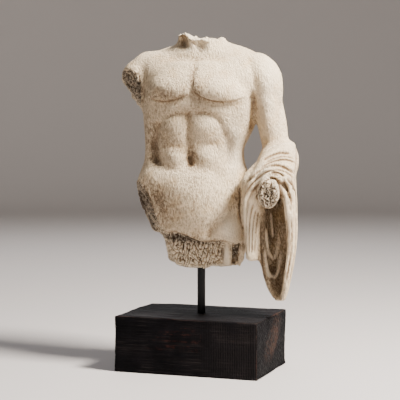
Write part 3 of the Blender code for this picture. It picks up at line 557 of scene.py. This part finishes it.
class Clay:
    def __init__(self, obj, underside):
        self.mesh = obj.data
        self.lift = np.array((0, 0, underside), float)
        camera = scene.camera
        self.eye = np.array(camera.location) * 1000 - self.lift
        bpy.context.view_layer.update()
        axes = np.array(camera.matrix_world.to_3x3())
        self.right, self.up, self.ahead = axes[:, 0], axes[:, 1], -axes[:, 2]
        self.focus = camera.data.lens / camera.data.sensor_width * pictureSize
        self.centre = pictureSize / 2
        self.read()
        self.searchTree = BVHTree.FromObject(obj, bpy.context.evaluated_depsgraph_get())
        ends = np.empty(len(self.mesh.edges) * 2, np.int32)
        self.mesh.edges.foreach_get("vertices", ends)
        self.ends = ends.reshape(-1, 2)
        self.count = np.maximum(np.bincount(ends, minlength=len(self.points)), 1)[:, None]

    def read(self):
        count = len(self.mesh.vertices)
        flat = np.empty(count * 3, np.float32)
        self.mesh.vertices.foreach_get("co", flat)
        self.points = flat.reshape(-1, 3).astype(float) * 1000 - self.lift
        self.mesh.vertex_normals.foreach_get("vector", flat)
        self.normals = flat.reshape(-1, 3).astype(float)

    def write(self):
        flat = ((self.points + self.lift) / 1000).astype(np.float32).ravel()
        self.mesh.vertices.foreach_set("co", flat)
        self.mesh.update()
        self.read()

    def push(self, index, amount):
        self.points[index] += self.normals[index] * amount[:, None]

    def averaged(self, values, rounds):
        for _ in range(rounds):
            total = np.zeros_like(values)
            for axis in range(values.shape[1]):
                for here, there in (self.ends.T, self.ends.T[::-1]):
                    total[:, axis] += np.bincount(here, values[there, axis], len(values))
            values = 0.5 * values + 0.5 * total / self.count
        return values

    def blurred(self, mask, rounds):
        return self.averaged(mask[:, None], rounds)[:, 0]

    def patches(self, spots, hard=False):
        # How far inside the leaning ovals each point that the camera sees lies.
        seen = self.seen()
        mask = np.zeros(len(self.points))
        for spot, radii, lean, amount in spots:
            square = oval(seen, spot, radii, lean)
            inside = eased(1.25 - square) if hard else np.exp(-0.8 * square)
            mask = np.maximum(mask, amount * inside * (seen[2] > 0))
        return mask

    def ray(self, spot, side):
        # The starts lie 0.4 m out, clear of the figure.
        if side == "eye":
            x, y = spot[0] - self.centre, self.centre - spot[1]
            aim = self.ahead * self.focus + self.right * x + self.up * y
            return self.eye, aim / np.linalg.norm(aim)
        if side == "left":
            return np.array((400.0, spot[0], spot[1])), np.array((-1.0, 0, 0))
        return np.array((spot[0], 400.0, spot[1])), np.array((0, -1.0, 0))

    def meet(self, spot, side):
        # Where the ray meets the surface as it was before any carving, and the normal there.
        start, aim = self.ray(spot, side)
        hit = self.searchTree.ray_cast(Vector((start + self.lift) / 1000), Vector(aim))
        if hit[0] is None:
            return None
        return np.array(hit[0]) * 1000 - self.lift, np.array(hit[1])

    def trace(self, spots, side):
        spacing = 1.6 if side == "eye" else 4.0  # pixels or millimetres
        met = [self.meet(spot, side) for spot in smoothPath(spots, spacing)]
        met = [found for found in met if found is not None]
        return np.array([place for place, _ in met]), np.array([normal for _, normal in met])

    def nearPath(self, spots, side, reach):
        path, facing = self.trace(spots, side)
        index = np.flatnonzero(inBox(self.points, path.min(0), path.max(0), reach))
        points = self.points[index]
        best, share, turned = np.full(len(index), np.inf), np.zeros(len(index)), np.zeros(len(index))
        for k in range(len(path) - 1):
            step = path[k + 1] - path[k]
            length = max(step @ step, 1e-9)
            if length > 400:  # a jump of over 20 mm, as over an edge
                continue
            t = np.clip((points - path[k]) @ step / length, 0, 1)
            distance = np.linalg.norm(points - path[k] - t[:, None] * step, axis=1)
            closer = distance < best
            best[closer] = distance[closer]
            share[closer] = (k + t[closer]) / (len(path) - 1)
            turned[closer] = (self.normals[index] @ facing[k])[closer]
        kept = (best < reach) & (turned > 0.05)
        return index[kept], best[kept], share[kept]

    def groove(self, spots, width, depth, side="eye", ends=0.16, sharp=False):
        index, distance, share = self.nearPath(spots, side, 3.2 * width)
        profile = np.exp(-1.6 * distance / width) if sharp else np.exp(-((distance / width) ** 2))
        self.push(index, -depth * profile * eased(np.minimum(share, 1 - share) / ends))

    def lines(self, marks):
        # A mask along paths, each given with its side, width, reach and amount.
        mask = np.zeros(len(self.points))
        for spots, side, width, reach, amount in marks:
            index, distance, share = self.nearPath(spots, side, 3.0 * width)
            line = np.exp(-((distance / width / reach) ** 2)) * eased(np.minimum(share, 1 - share) / 0.12)
            mask[index] = np.maximum(mask[index], line * amount)
        return mask

    def seen(self):
        # Where each point lies in the picture, and how far it faces the camera.
        offset = self.points - self.eye
        scale = self.focus / (offset @ self.ahead)
        facing = -(self.normals * offset).sum(1) / np.linalg.norm(offset, axis=1)
        return self.centre + scale * (offset @ self.right), self.centre - scale * (offset @ self.up), facing

    def swell(self, spot, radii, height, lean=0.0):
        seen = self.seen()
        square = oval(seen, spot, radii, lean)
        index = np.flatnonzero((square < 1) & (seen[2] > 0.05))
        self.push(index, height * (1 - square[index]) ** 2 * eased(seen[2][index] / 0.3))

    def scoop(self, spot, radius, depth):
        # Presses a ball into the surface, as deep as its lowest point.
        place, normal = self.meet(spot, "eye")
        centre = place + normal * (radius - depth)
        away = self.points - centre
        distance = np.linalg.norm(away, axis=1)
        index = np.flatnonzero((distance < radius) & (distance > 0.01))
        self.points[index] = centre + away[index] * (radius / distance[index])[:, None]

    def wobble(self, scale):
        return np.array([noise.noise(Vector(p * scale)) for p in self.points])


def brokenMask(clay, values, rim=0.0):
    points, normals = clay.points, clay.normals
    mask = np.zeros(len(points))
    room = 3 + np.reshape(rim, (-1, 1))  # what a broken face may reach past its box
    for spot, normal, low, high in values["breaks"]:
        normal = np.array(Vector(normal).normalized())
        beyond = (points - np.array(spot)) @ normal + rim
        boxed = inBox(points, low, high, room)
        mask = np.maximum(mask, eased((beyond + 5) / 3) * boxed * eased((normals @ normal - 0.4) / 0.3))
    x, y, z = points.T
    hipEdge = np.interp(z, *np.transpose(values["hipEdge"])) + 0.6 * rim
    mask *= 1 - inBox(points, *values["hipBox"]) * eased((x - hipEdge) / 2.5)
    skinEdge = np.interp(x, *np.transpose(values["skinEdge"])) + rim
    front = eased(-normals[:, 1] / 0.4) * (y < 0) * (x < 84)
    mask = np.maximum(mask, front * eased((skinEdge - z) / 2))
    return mask * (1 - clay.patches(smoothSpots, hard=True) * (y < 0))


def fineClay(values):
    source = bmesh.new()
    source.from_mesh(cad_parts["torso"].data)
    bmesh.ops.remove_doubles(source, verts=source.verts, dist=1e-5)
    lump = placed("torsoClay", meshFrom(source, "torsoClay"))
    rounding = lump.modifiers.new("rounding", "SUBSURF")
    rounding.levels = rounding.render_levels = 2
    grain = lump.modifiers.new("grain", "REMESH")
    grain.mode, grain.voxel_size = "VOXEL", values["clayGrain"]
    soft = lump.modifiers.new("soft", "SMOOTH")
    soft.factor, soft.iterations = 0.5, values["softening"]
    bakeModifiers(lump)
    return lump


def bakeModifiers(lump):
    bpy.context.view_layer.update()
    baked = bpy.data.meshes.new_from_object(lump.evaluated_get(bpy.context.evaluated_depsgraph_get()))
    lump.modifiers.clear()
    lump.data = baked


def carveSkin(clay, values):
    soft = clay.patches([(spot, radii, lean, 1.0) for spot, radii, lean in softSpots])
    clay.points += (clay.averaged(clay.points, values["evening"]) - clay.points) * soft[:, None]
    clay.write()
    for spot, radii, height, lean in skinSwells:
        clay.swell(spot, radii, height, lean)
    clay.write()
    for spots, width, depth in skinMarks:
        clay.groove(spots, width, depth)
    clay.write()
    # The neck: its rim dips, and there are a round hollow in its left end and a notch in its middle.
    x, _, z = clay.points.T
    dip = np.interp(x, *np.transpose(values["neckDip"]))
    start, full = values["neckRim"]
    clay.points[:, 2] -= dip * eased((z - start) / (full - start)) * (abs(x) < values["neckHalf"])
    clay.write()
    clay.scoop(*values["neckPit"])
    clay.swell(*values["neckSwell"])
    clay.write()
    for spots, width, depth, ends in edgeMarks:
        clay.groove(spots, width, depth, ends=ends)
    clay.write()


def carveCloth(clay, values):
    for spots, width, depth in clothValleys:
        clay.groove(spots, width * values["valleyWidth"], depth * values["valleyDepth"])
    clay.write()
    for spots, width, height in clothRidges:
        clay.groove(spots, width, -height)
    for side, spots, width, depth in hiddenFolds:
        clay.groove(spots, width, depth, side=side, sharp=True)
    clay.write()
    for spots, width, depth, ends in clothEdges:
        clay.groove(spots, width, depth, ends=ends)
    clay.write()


def chisel(x, y, z):
    # The height of the tooled surface at a place, and how far up its lump the place lies.
    size = 0.74 if x > 105 else 1.2  # the stub's end is worked finer
    big = noise.fractal(Vector((x, y, z)) / 13 / size, 0.6, 2.0, 3)
    drift = 0.7 * big
    line = noise.noise(Vector((x / 4.6 + drift, y / 4.6, z / 15 + drift)) / size)
    cross = noise.noise(Vector((x / 7.0 + z / 10.0, y / 7.0 + drift, z / 6.6)) / size + Vector((7, 3, 1)))
    lump = 1 - 0.66 * (1 - min(abs(line) / 0.4, 1.0)) ** 2 - 0.34 * (1 - min(abs(cross) / 0.36, 1.0)) ** 2
    return 1.7 * big + 4.2 * size * (lump - 0.75), lump


def roughenBreaks(clay, values):
    ragged, often = values["rimRagged"]
    mask = brokenMask(clay, values, ragged * clay.wobble(often))
    index = np.flatnonzero(mask > 0.02)
    heights = np.array([chisel(*spot)[0] for spot in clay.points[index]])
    # The face under the belly's edge lies a little further in than the skin.
    inset = values["inset"] * inBox(clay.points[index], *values["edgeBox"])
    inset = inset * eased((clay.normals[index, 2] + 0.6) / 0.3)
    clay.push(index, (values["chiselDepth"] * (heights - 0.5) - inset) * mask[index])
    clay.write()


def brushSkin(clay, values):
    skin = 1 - brokenMask(clay, values)
    marks = 0
    for name in ("brushGrain", "pockGrain"):
        dx, dy, dz = values[name]
        marks = marks + np.array([noise.noise(Vector((x / dx, y / dy, z / dz))) for x, y, z in clay.points])
    clay.push(slice(None), values["brushDepth"] * marks * skin)
    clay.write()


def openBore(clay, values):
    x, y, z = clay.points.T
    away = np.hypot(x, y)
    inside = (away < values["boreRadius"]) & (away > 0.05) & (z < values["boreTop"])
    clay.points[inside, :2] *= (values["boreRadius"] / away[inside])[:, None]
    clay.write()


def shelter(clay, reach, rays):
    # How closed in each point is, from 0 in the open to 1.
    golden = math.pi * (3 - math.sqrt(5))
    closed = np.zeros(len(clay.points))
    tilt = np.where(abs(clay.normals[:, 2:3]) < 0.9, np.array([[0, 0, 1.0]]), np.array([[1.0, 0, 0]]))
    side = np.cross(tilt, clay.normals)
    side /= np.linalg.norm(side, axis=1)[:, None]
    other = np.cross(clay.normals, side)
    starts = (clay.points + clay.normals * 1.2 + clay.lift) / 1000
    cast = clay.searchTree.ray_cast
    for ray in range(rays):
        out = math.sqrt((ray + 0.5) / rays)
        dx, dy, dz = out * math.cos(golden * ray), out * math.sin(golden * ray), math.sqrt(1 - out * out)
        aims = side * dx + other * dy + clay.normals * dz
        for i, (start, aim) in enumerate(zip(starts, aims)):
            distance = cast(Vector(start), Vector(aim), reach / 1000)[3]
            if distance is not None:
                closed[i] += 1 - distance * 1000 / reach
    return closed / rays


def storeMask(mesh, name, values):
    layer = mesh.attributes.new(name, "FLOAT", "POINT")
    layer.data.foreach_set("value", np.clip(values, 0, 1).astype(np.float32))


def markSurface(clay, values):
    mesh = clay.mesh
    level = clay.points
    for name, rounds, depth in values["levels"]:
        level = clay.averaged(level, rounds)
        sink = ((level - clay.points) * clay.normals).sum(1) / depth
        storeMask(mesh, name, sink)
        if name == "pit":
            storeMask(mesh, "ridge", -sink)
    closed = shelter(clay, values["shelterReach"], values["shelterRays"])
    storeMask(mesh, "closed", clay.blurred(closed, 4))
    storeMask(mesh, "broken", clay.blurred(brokenMask(clay, values), 1))
    # Wash and painted shade, from the listed spots.
    storeMask(mesh, "washAndShade", clay.blurred(clay.patches(shadeAndWashSpots), 8))
    gap = np.zeros(len(clay.points))
    index = np.flatnonzero(brokenMask(clay, values, 3) > 0.02)
    gap[index] = [1 - chisel(*spot)[1] for spot in clay.points[index]]
    storeMask(mesh, "gap", gap)
    # Wash along the folds of the cloth; painted shade along the listed edges.
    foldAndShadeLines = [(spots, "eye", width, 1.05, min(1.0, 0.35 + depth / 3))
               for spots, width, depth in clothValleys + shadeAndDirtLines]
    foldAndShadeLines += [(spots, side, width, 1.0, 0.8) for side, spots, width, _ in hiddenFolds]
    ridges = [(spots, "eye", width, 1.0, 0.5) for spots, width, _ in clothRidges]
    storeMask(mesh, "creaseAndShade", clay.lines(foldAndShadeLines))
    # Paler rubbed ridges, and painted light in the listed spots.
    storeMask(mesh, "rubAndLight", np.maximum(clay.lines(ridges), clay.patches(paintedLightSpots)))


resin = {
    "cream": (0.84, 0.68, 0.46),
    "bone": (0.70, 0.56, 0.385),
    "ochre": (0.60, 0.37, 0.14),
    "foldAndShadeBrown": (0.33, 0.205, 0.098),
    "wash": (0.175, 0.105, 0.053),
    "gapWash": (0.095, 0.056, 0.031),
    "darkShadeAndWash": (0.040, 0.024, 0.014),
    "pale": (0.90, 0.80, 0.63),
    "roughness": 0.74,
    "washRoughness": 0.88,
    "shine": 0.3,
    "relief": (0.9, 0.0012),  # strength and depth
    "fineBrush": ((560, 560, 200), 0.14),
    "wideBrush": ((330, 330, 150), 0.19),
    # How much each mask adds to the wash in the brush marks, to the brown wash, to what fills the
    # gaps of the broken faces, and to the dark wash over it all. Some masks bring painted shade,
    # and the painted light takes wash away.
    "markWeights": {"closed": 0.8, "washAndShade": 0.8},
    "washWeights": {"valley": 0.36, "hollow": 0.4, "closed": 0.3, "washAndShade": 0.55, "creaseAndShade": 0.55,
                    "rubAndLight": -0.5, "wideGaps": 0.3},
    "gapWeights": {"washAndShade": 0.35, "gap": 1.05},
    "darkWeights": {"closed": 0.75, "washAndShade": 0.42, "brokenShadeAndWash": 1.0, "creaseAndShade": 0.3, "rubAndLight": -0.3,
                    "fineGaps": 0.2},
}


def makeResin(values):
    material, tree, shader, spot = newMaterial("agedResin")
    masks = {}
    for name in ("pit", "ridge", "hollow", "valley", "closed", "broken", "washAndShade", "creaseAndShade", "rubAndLight", "gap"):
        masks[name] = stored(tree, name)
    # The wash of closed-in places is taken away where light is painted.
    masks["closed"] = times(masks["closed"], summed(1.0, masks, {"rubAndLight": -0.9}))
    # Where the listed spots lie on a broken face: wash, and painted shade on the hip's and arm's breaks.
    masks["brokenShadeAndWash"] = times(masks["broken"], times(masks["washAndShade"], 0.72))
    fineLines = streaks(spot, *values["fineBrush"])
    wideLines = streaks(spot, *values["wideBrush"])
    masks["fineGaps"] = calc("SUBTRACT", 0.5, fineLines)
    masks["wideGaps"] = calc("SUBTRACT", 0.5, wideLines)
    clouds = speckle(spot, 16, 3)
    patches = speckle(spot, 45, 3)
    grit = speckle(spot, 800, 2)

    colour = mixed(spread(clouds, 0.35, 0.7), values["cream"], values["bone"])
    colour = tinted(colour, values["ochre"], spread(patches, 0.5, 0.72), 0.3)
    # Thin wash lies in the brush marks, more of it where the surface is closed in, and painted shade is laid
    # in them in the listed spots.
    marks = times(calc("SUBTRACT", 1.0, fineLines), calc("SUBTRACT", 1.1, wideLines))
    marks = calc("MULTIPLY", marks, summed(0.22, masks, values["markWeights"]), clamp=True)
    colour = mixed(marks, colour, values["wash"])
    # Ochre where the figure is closed in, as along the inner arm. Brown along the folds of the cloth, as
    # wash, and along the listed edges, as painted shade.
    warm = times(spread(masks["closed"], 0.25, 0.6), spread(patches, 0.3, 0.6))
    colour = tinted(colour, values["ochre"], warm, 0.5)
    line = times(masks["creaseAndShade"], spread(patches, 0.1, 0.5, 0.5, 0.95))
    colour = mixed(line, colour, values["foldAndShadeBrown"])
    colour = tinted(colour, values["ochre"], masks["broken"], 0.18)
    # Brown wash in creases and pits, breaking up into specks; in the listed spots and along the listed edges
    # it is painted shade too, and it is taken away where light is painted.
    washSpecksAndShade = specks(spot, summed(0.0, masks, values["washWeights"]), 420.0, 1.0, 0.45)
    colour = tinted(colour, values["wash"], washSpecksAndShade, 0.8)
    pits = calc("MULTIPLY", masks["pit"], summed(0.15, masks, {"broken": 0.5}), clamp=True)
    colour = mixed(pits, colour, values["wash"])
    # The gaps between the lumps of a broken face hold the most, and the listed spots add painted shade there.
    filled = specks(spot, summed(0.0, masks, values["gapWeights"]), 420.0, 0.7, 0.35)
    colour = tinted(colour, values["gapWash"], times(filled, masks["broken"]), 0.84)
    # Dark wash over it all, with painted shade in the listed spots, along the listed edges and on the hip's
    # and arm's breaks.
    deepShadeAndWash = specks(spot, summed(-0.13, masks, values["darkWeights"]), 340.0, 0.9, 0.35)
    colour = tinted(colour, values["darkShadeAndWash"], deepShadeAndWash, 0.88)
    # Rubbed ridges are paler, and the colour is paled as painted light in the listed spots.
    rubbed = times(masks["ridge"], summed(0.3, masks, {"broken": 0.45}))
    rubbed = times(rubbed, summed(1.0, masks, {"washAndShade": -0.92}))
    paledRubAndLight = times(masks["rubAndLight"], summed(0.8, masks, {"creaseAndShade": -0.8}))
    colour = mixed(calc("MAXIMUM", rubbed, paledRubAndLight), colour, values["pale"])
    feed(shader.inputs["Base Color"], colour)

    rough = spread(washSpecksAndShade, 0, 1, values["roughness"], values["washRoughness"])
    feed(shader.inputs["Roughness"], rough)
    shader.inputs["Specular IOR Level"].default_value = values["shine"]
    relief = calc("MULTIPLY_ADD", fineLines, 0.8, times(wideLines, 0.6))
    relief = calc("MULTIPLY_ADD", grit, 0.6, relief)
    feed(shader.inputs["Normal"], bumped(relief, *values["relief"]))
    return material


lump = fineClay(figure)
print("torso clay:", len(lump.data.vertices), "points")
clay = Clay(lump, figure["underside"])
carveSkin(clay, figure)
carveCloth(clay, figure)
print("torso carved")
roughenBreaks(clay, figure)
brushSkin(clay, figure)
thinning = lump.modifiers.new("thinning", "DECIMATE")
thinning.ratio = min(1.0, figure["triangles"] / (2 * len(lump.data.polygons)))
thinning.use_collapse_triangulate = True
bakeModifiers(lump)
clay = Clay(lump, figure["underside"])
openBore(clay, figure)
markSurface(clay, figure)
torsoMesh = lump.data
bpy.data.objects.remove(lump)
torso = finishPiece("torso_figure", torsoMesh, "torso", makeResin(resin))
print("torso finished:", len(torsoMesh.polygons), "triangles")


# The rod.
rodLook = {
    "sides": 96,
    "rings": 30,
    "rounding": 0.0006,
    "unevenness": 0.00005,
    "dentScale": 90,
    "paint": (0.004, 0.004, 0.0048),
    "drawnPaint": (0.010, 0.010, 0.012),
    "wornPaint": (0.040, 0.038, 0.037),
    "roughness": (0.32, 0.42),
    "shine": 0.22,
    "relief": (0.25, 0.0002),
}


def makeRod(values):
    low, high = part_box("rod")
    radius = (high.x - low.x) / 2
    shape = bmesh.new()
    bmesh.ops.create_cone(shape, cap_ends=True, segments=values["sides"], radius1=radius, radius2=radius,
                          depth=high.z - low.z)
    rims = [edge for edge in shape.edges if abs(edge.verts[0].co.z - edge.verts[1].co.z) < 1e-6]
    bmesh.ops.bevel(shape, geom=rims, offset=values["rounding"], segments=2, profile=0.5, affect="EDGES",
                    material=-1)
    long = [edge for edge in shape.edges if abs(edge.verts[0].co.z - edge.verts[1].co.z) > 0.05]
    bmesh.ops.subdivide_edges(shape, edges=long, cuts=values["rings"], use_grid_fill=True)
    middle = [(a + b) / 2 for a, b in zip(low, high)]
    bmesh.ops.translate(shape, verts=shape.verts, vec=middle)
    for vert in shape.verts:
        dent = noise.noise(vert.co * values["dentScale"]) * values["unevenness"]
        vert.co.x *= 1 - abs(dent) / radius
        vert.co.y *= 1 - abs(dent) / radius
    return meshFrom(shape, "rod")


def makeBlackSteel(values):
    material, _, shader, spot = newMaterial("blackSteel")
    drawn = streaks(spot, (900, 900, 30), 0.2)
    worn = specks(spot, 0.28, 260.0, 0.9, 0.1)
    colour = tinted(values["paint"], values["drawnPaint"], drawn, 0.4)
    colour = tinted(colour, values["wornPaint"], worn, 0.6)
    feed(shader.inputs["Base Color"], colour)
    feed(shader.inputs["Roughness"], spread(drawn, 0, 1, *values["roughness"]))
    shader.inputs["Specular IOR Level"].default_value = values["shine"]
    feed(shader.inputs["Normal"], bumped(drawn, *values["relief"]))
    return material


rod = finishPiece("black_rod", makeRod(rodLook), "rod", makeBlackSteel(rodLook))
print("rod finished:", len(rod.data.polygons), "faces")


# The block: sawn wood under black paint that has rubbed through.
blockLook = {
    "cuts": 64,
    "rounding": 0.0017,
    "wornMost": 0.0034,
    "chipScale": 55,
    "waviness": 0.0011,
    "waveScale": 16,
    "sawScale": (45, 240, 240),
    "sawDepth": 0.00022,
    "shrink": 0.0006,  # keeps the waves inside the solid's faces
    "paint": (0.0009, 0.0008, 0.0013),
    "greyPaintAndSheen": (0.0034, 0.0030, 0.0040),
    "scratch": (0.017, 0.0135, 0.0135),
    "sawRib": (0.023, 0.019, 0.019),
    "redWood": (0.042, 0.013, 0.010),
    "paleWoodAndSheen": (0.050, 0.034, 0.025),
    "dust": (0.07, 0.062, 0.058),
    "roughness": (0.5, 0.72),
    "shine": 0.055,
    "relief": (0.8, 0.0009),
}


def makeBlock(values):
    low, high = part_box("block")
    centre, half = (low + high) / 2, (high - low) / 2
    shape = bmesh.new()
    bmesh.ops.create_cube(shape, size=2.0)
    bmesh.ops.scale(shape, vec=half, verts=shape.verts)
    bmesh.ops.subdivide_edges(shape, edges=shape.edges, cuts=values["cuts"], use_grid_fill=True)
    edgeWear, rubbed = [], []
    for vert in shape.verts:
        place = vert.co.copy()
        chip = max(0.0, noise.fractal(place * values["chipScale"], 0.6, 2.0, 3))
        radius = values["rounding"] + values["wornMost"] * chip
        inner = Vector([max(-h + radius, min(h - radius, c)) for c, h in zip(place, half)])
        away = place - inner
        edgeWear.append(min(1.0, max(0.0, away.length / radius - 1.0) * 2.4))
        if away.length > radius:
            place = inner + away.normalized() * radius
        # Paint is rubbed thin at the middle of the front, and in a slanting patch on the right end.
        thin = 0.0
        if place.y < -half.y * 0.9:
            thin = 0.85 - ((place.x + 0.012) / 0.06) ** 2 - ((place.z - 0.010) / 0.034) ** 2
        if place.x > half.x * 0.9:
            slant = (place.y + 0.01) * 0.5 - (place.z - 0.004) * 0.86
            thin = max(thin, 1.15 - (slant / 0.036) ** 2 - ((place.y - 0.012) / 0.066) ** 2)
        rubbed.append(max(0.0, thin))
        bend = noise.noise(place * values["waveScale"]) * values["waviness"]
        across = Vector([c * often for c, often in zip(place, values["sawScale"])])
        shift = bend + noise.noise(across) * values["sawDepth"] - values["shrink"]
        if place.z > -half.z + 0.004:
            out = Vector([c / h if abs(c) > h * 0.96 else 0.0 for c, h in zip(place, half)])
            place += out * shift
        vert.co = place + centre
    mesh = meshFrom(shape, "block")
    storeMask(mesh, "edgeWear", np.array(edgeWear))
    storeMask(mesh, "rubbed", np.array(rubbed))
    return mesh


def makeBlackWood(values):
    material, tree, shader, coords = newMaterial("blackWood")
    edge, thin = stored(tree, "edgeWear"), stored(tree, "rubbed")
    facing = addNode(tree, "ShaderNodeSeparateXYZ")
    feed(facing.inputs[0], addNode(tree, "ShaderNodeNewGeometry").outputs["True Normal"])
    endGrain = spread(calc("ABSOLUTE", facing.outputs[0]), 0.6, 0.8)
    onTop = spread(facing.outputs[2], 0.6, 0.8)

    grain = streaks(coords, (22, 420, 420), 0.17)
    coarse = streaks(coords, (9, 120, 120), 0.15)
    # The saw has left upright lines at the right of the front, and slanting ones on the ends.
    sawn = addNode(tree, "ShaderNodeTexWave", bands_direction="X", wave_profile="SIN")
    feedAll(sawn, {"Vector": coords, "Scale": 115.0, "Distortion": 1.6, "Detail": 2.0, "Detail Scale": 3.0})
    turned = addNode(tree, "ShaderNodeMapping")
    feedAll(turned, {"Vector": coords, "Rotation": (math.radians(38), 0, 0)})
    slant = streaks(turned.outputs[0], (60, 60, 520), 0.18)
    place = addNode(tree, "ShaderNodeSeparateXYZ")
    feed(place.inputs[0], coords)
    toRight = spread(place.outputs[0], 0.0, 0.07)
    sawZone = times(toRight, spread(speckle(coords, 14), 0.35, 0.6))
    lines = mixed(endGrain, mixed(sawZone, grain, sawn.outputs["Fac"]), slant)

    region = speckle(coords, 19, 3)
    faint = speckle(coords, 48, 2)
    # Black paint with grey in places and along the coarse grain; the grey is partly painted sheen, laid on
    # more thickly on the top.
    colour = mixed(spread(faint, 0.35, 0.75), values["paint"], values["greyPaintAndSheen"])
    greyAndTopSheen = calc("MULTIPLY_ADD", onTop, 0.45, 0.2)
    colour = tinted(colour, values["greyPaintAndSheen"], coarse, greyAndTopSheen)
    # Scratches through the topmost paint, along the grain.
    scratches = streaks(coords, (15, 520, 900), 0.12)
    few = spread(speckle(coords, 38, 4), 0.38, 0.7)
    scratches = times(calc("POWER", scratches, 3.0), few)
    scratches = times(scratches, calc("SUBTRACT", 1.0, endGrain))
    colour = tinted(colour, values["scratch"], scratches, 0.9)
    # The saw's ribs stand out of the paint.
    ribs = times(calc("POWER", sawn.outputs["Fac"], 4.0), sawZone)
    ribs = times(ribs, calc("SUBTRACT", 1.0, calc("MAXIMUM", endGrain, onTop)))
    colour = tinted(colour, values["sawRib"], ribs, 0.8)
    # Bare wood at the edges and in the rubbed patches, paler on the ends: end grain, with painted light laid
    # in with it.
    reach = calc("MULTIPLY_ADD", edge, 0.42, calc("MULTIPLY_ADD", region, 0.7, -0.26))
    reach = calc("MULTIPLY_ADD", thin, 0.36, reach)
    reach = calc("MULTIPLY_ADD", calc("SUBTRACT", lines, 0.5), 0.3, reach)
    bare = specks(coords, reach, 210.0, 0.8, 0.12)
    pale = calc("MAXIMUM", endGrain, times(edge, 1.5), clamp=True)
    pale = times(spread(faint, 0.3, 0.62), calc("MULTIPLY_ADD", pale, 0.75, 0.15))
    pale = calc("MAXIMUM", pale, times(endGrain, 0.6))
    wood = mixed(pale, values["redWood"], values["paleWoodAndSheen"])
    colour = tinted(colour, wood, bare, calc("MULTIPLY_ADD", endGrain, 0.35, 0.42))
    dust = specks(coords, times(onTop, 0.36), 70.0, 0.7, 0.3)
    colour = tinted(colour, values["dust"], dust, 0.14)
    feed(shader.inputs["Base Color"], colour)
    feed(shader.inputs["Roughness"], spread(lines, 0, 1, *values["roughness"]))
    shader.inputs["Specular IOR Level"].default_value = values["shine"]
    relief = calc("MULTIPLY_ADD", lines, 1.0, times(coarse, 0.8))
    relief = calc("SUBTRACT", relief, times(bare, 0.3))
    feed(shader.inputs["Normal"], bumped(relief, *values["relief"]))
    return material


block = finishPiece("wooden_block", makeBlock(blockLook), "block", makeBlackWood(blockLook))
print("block finished:", len(block.data.polygons), "faces")
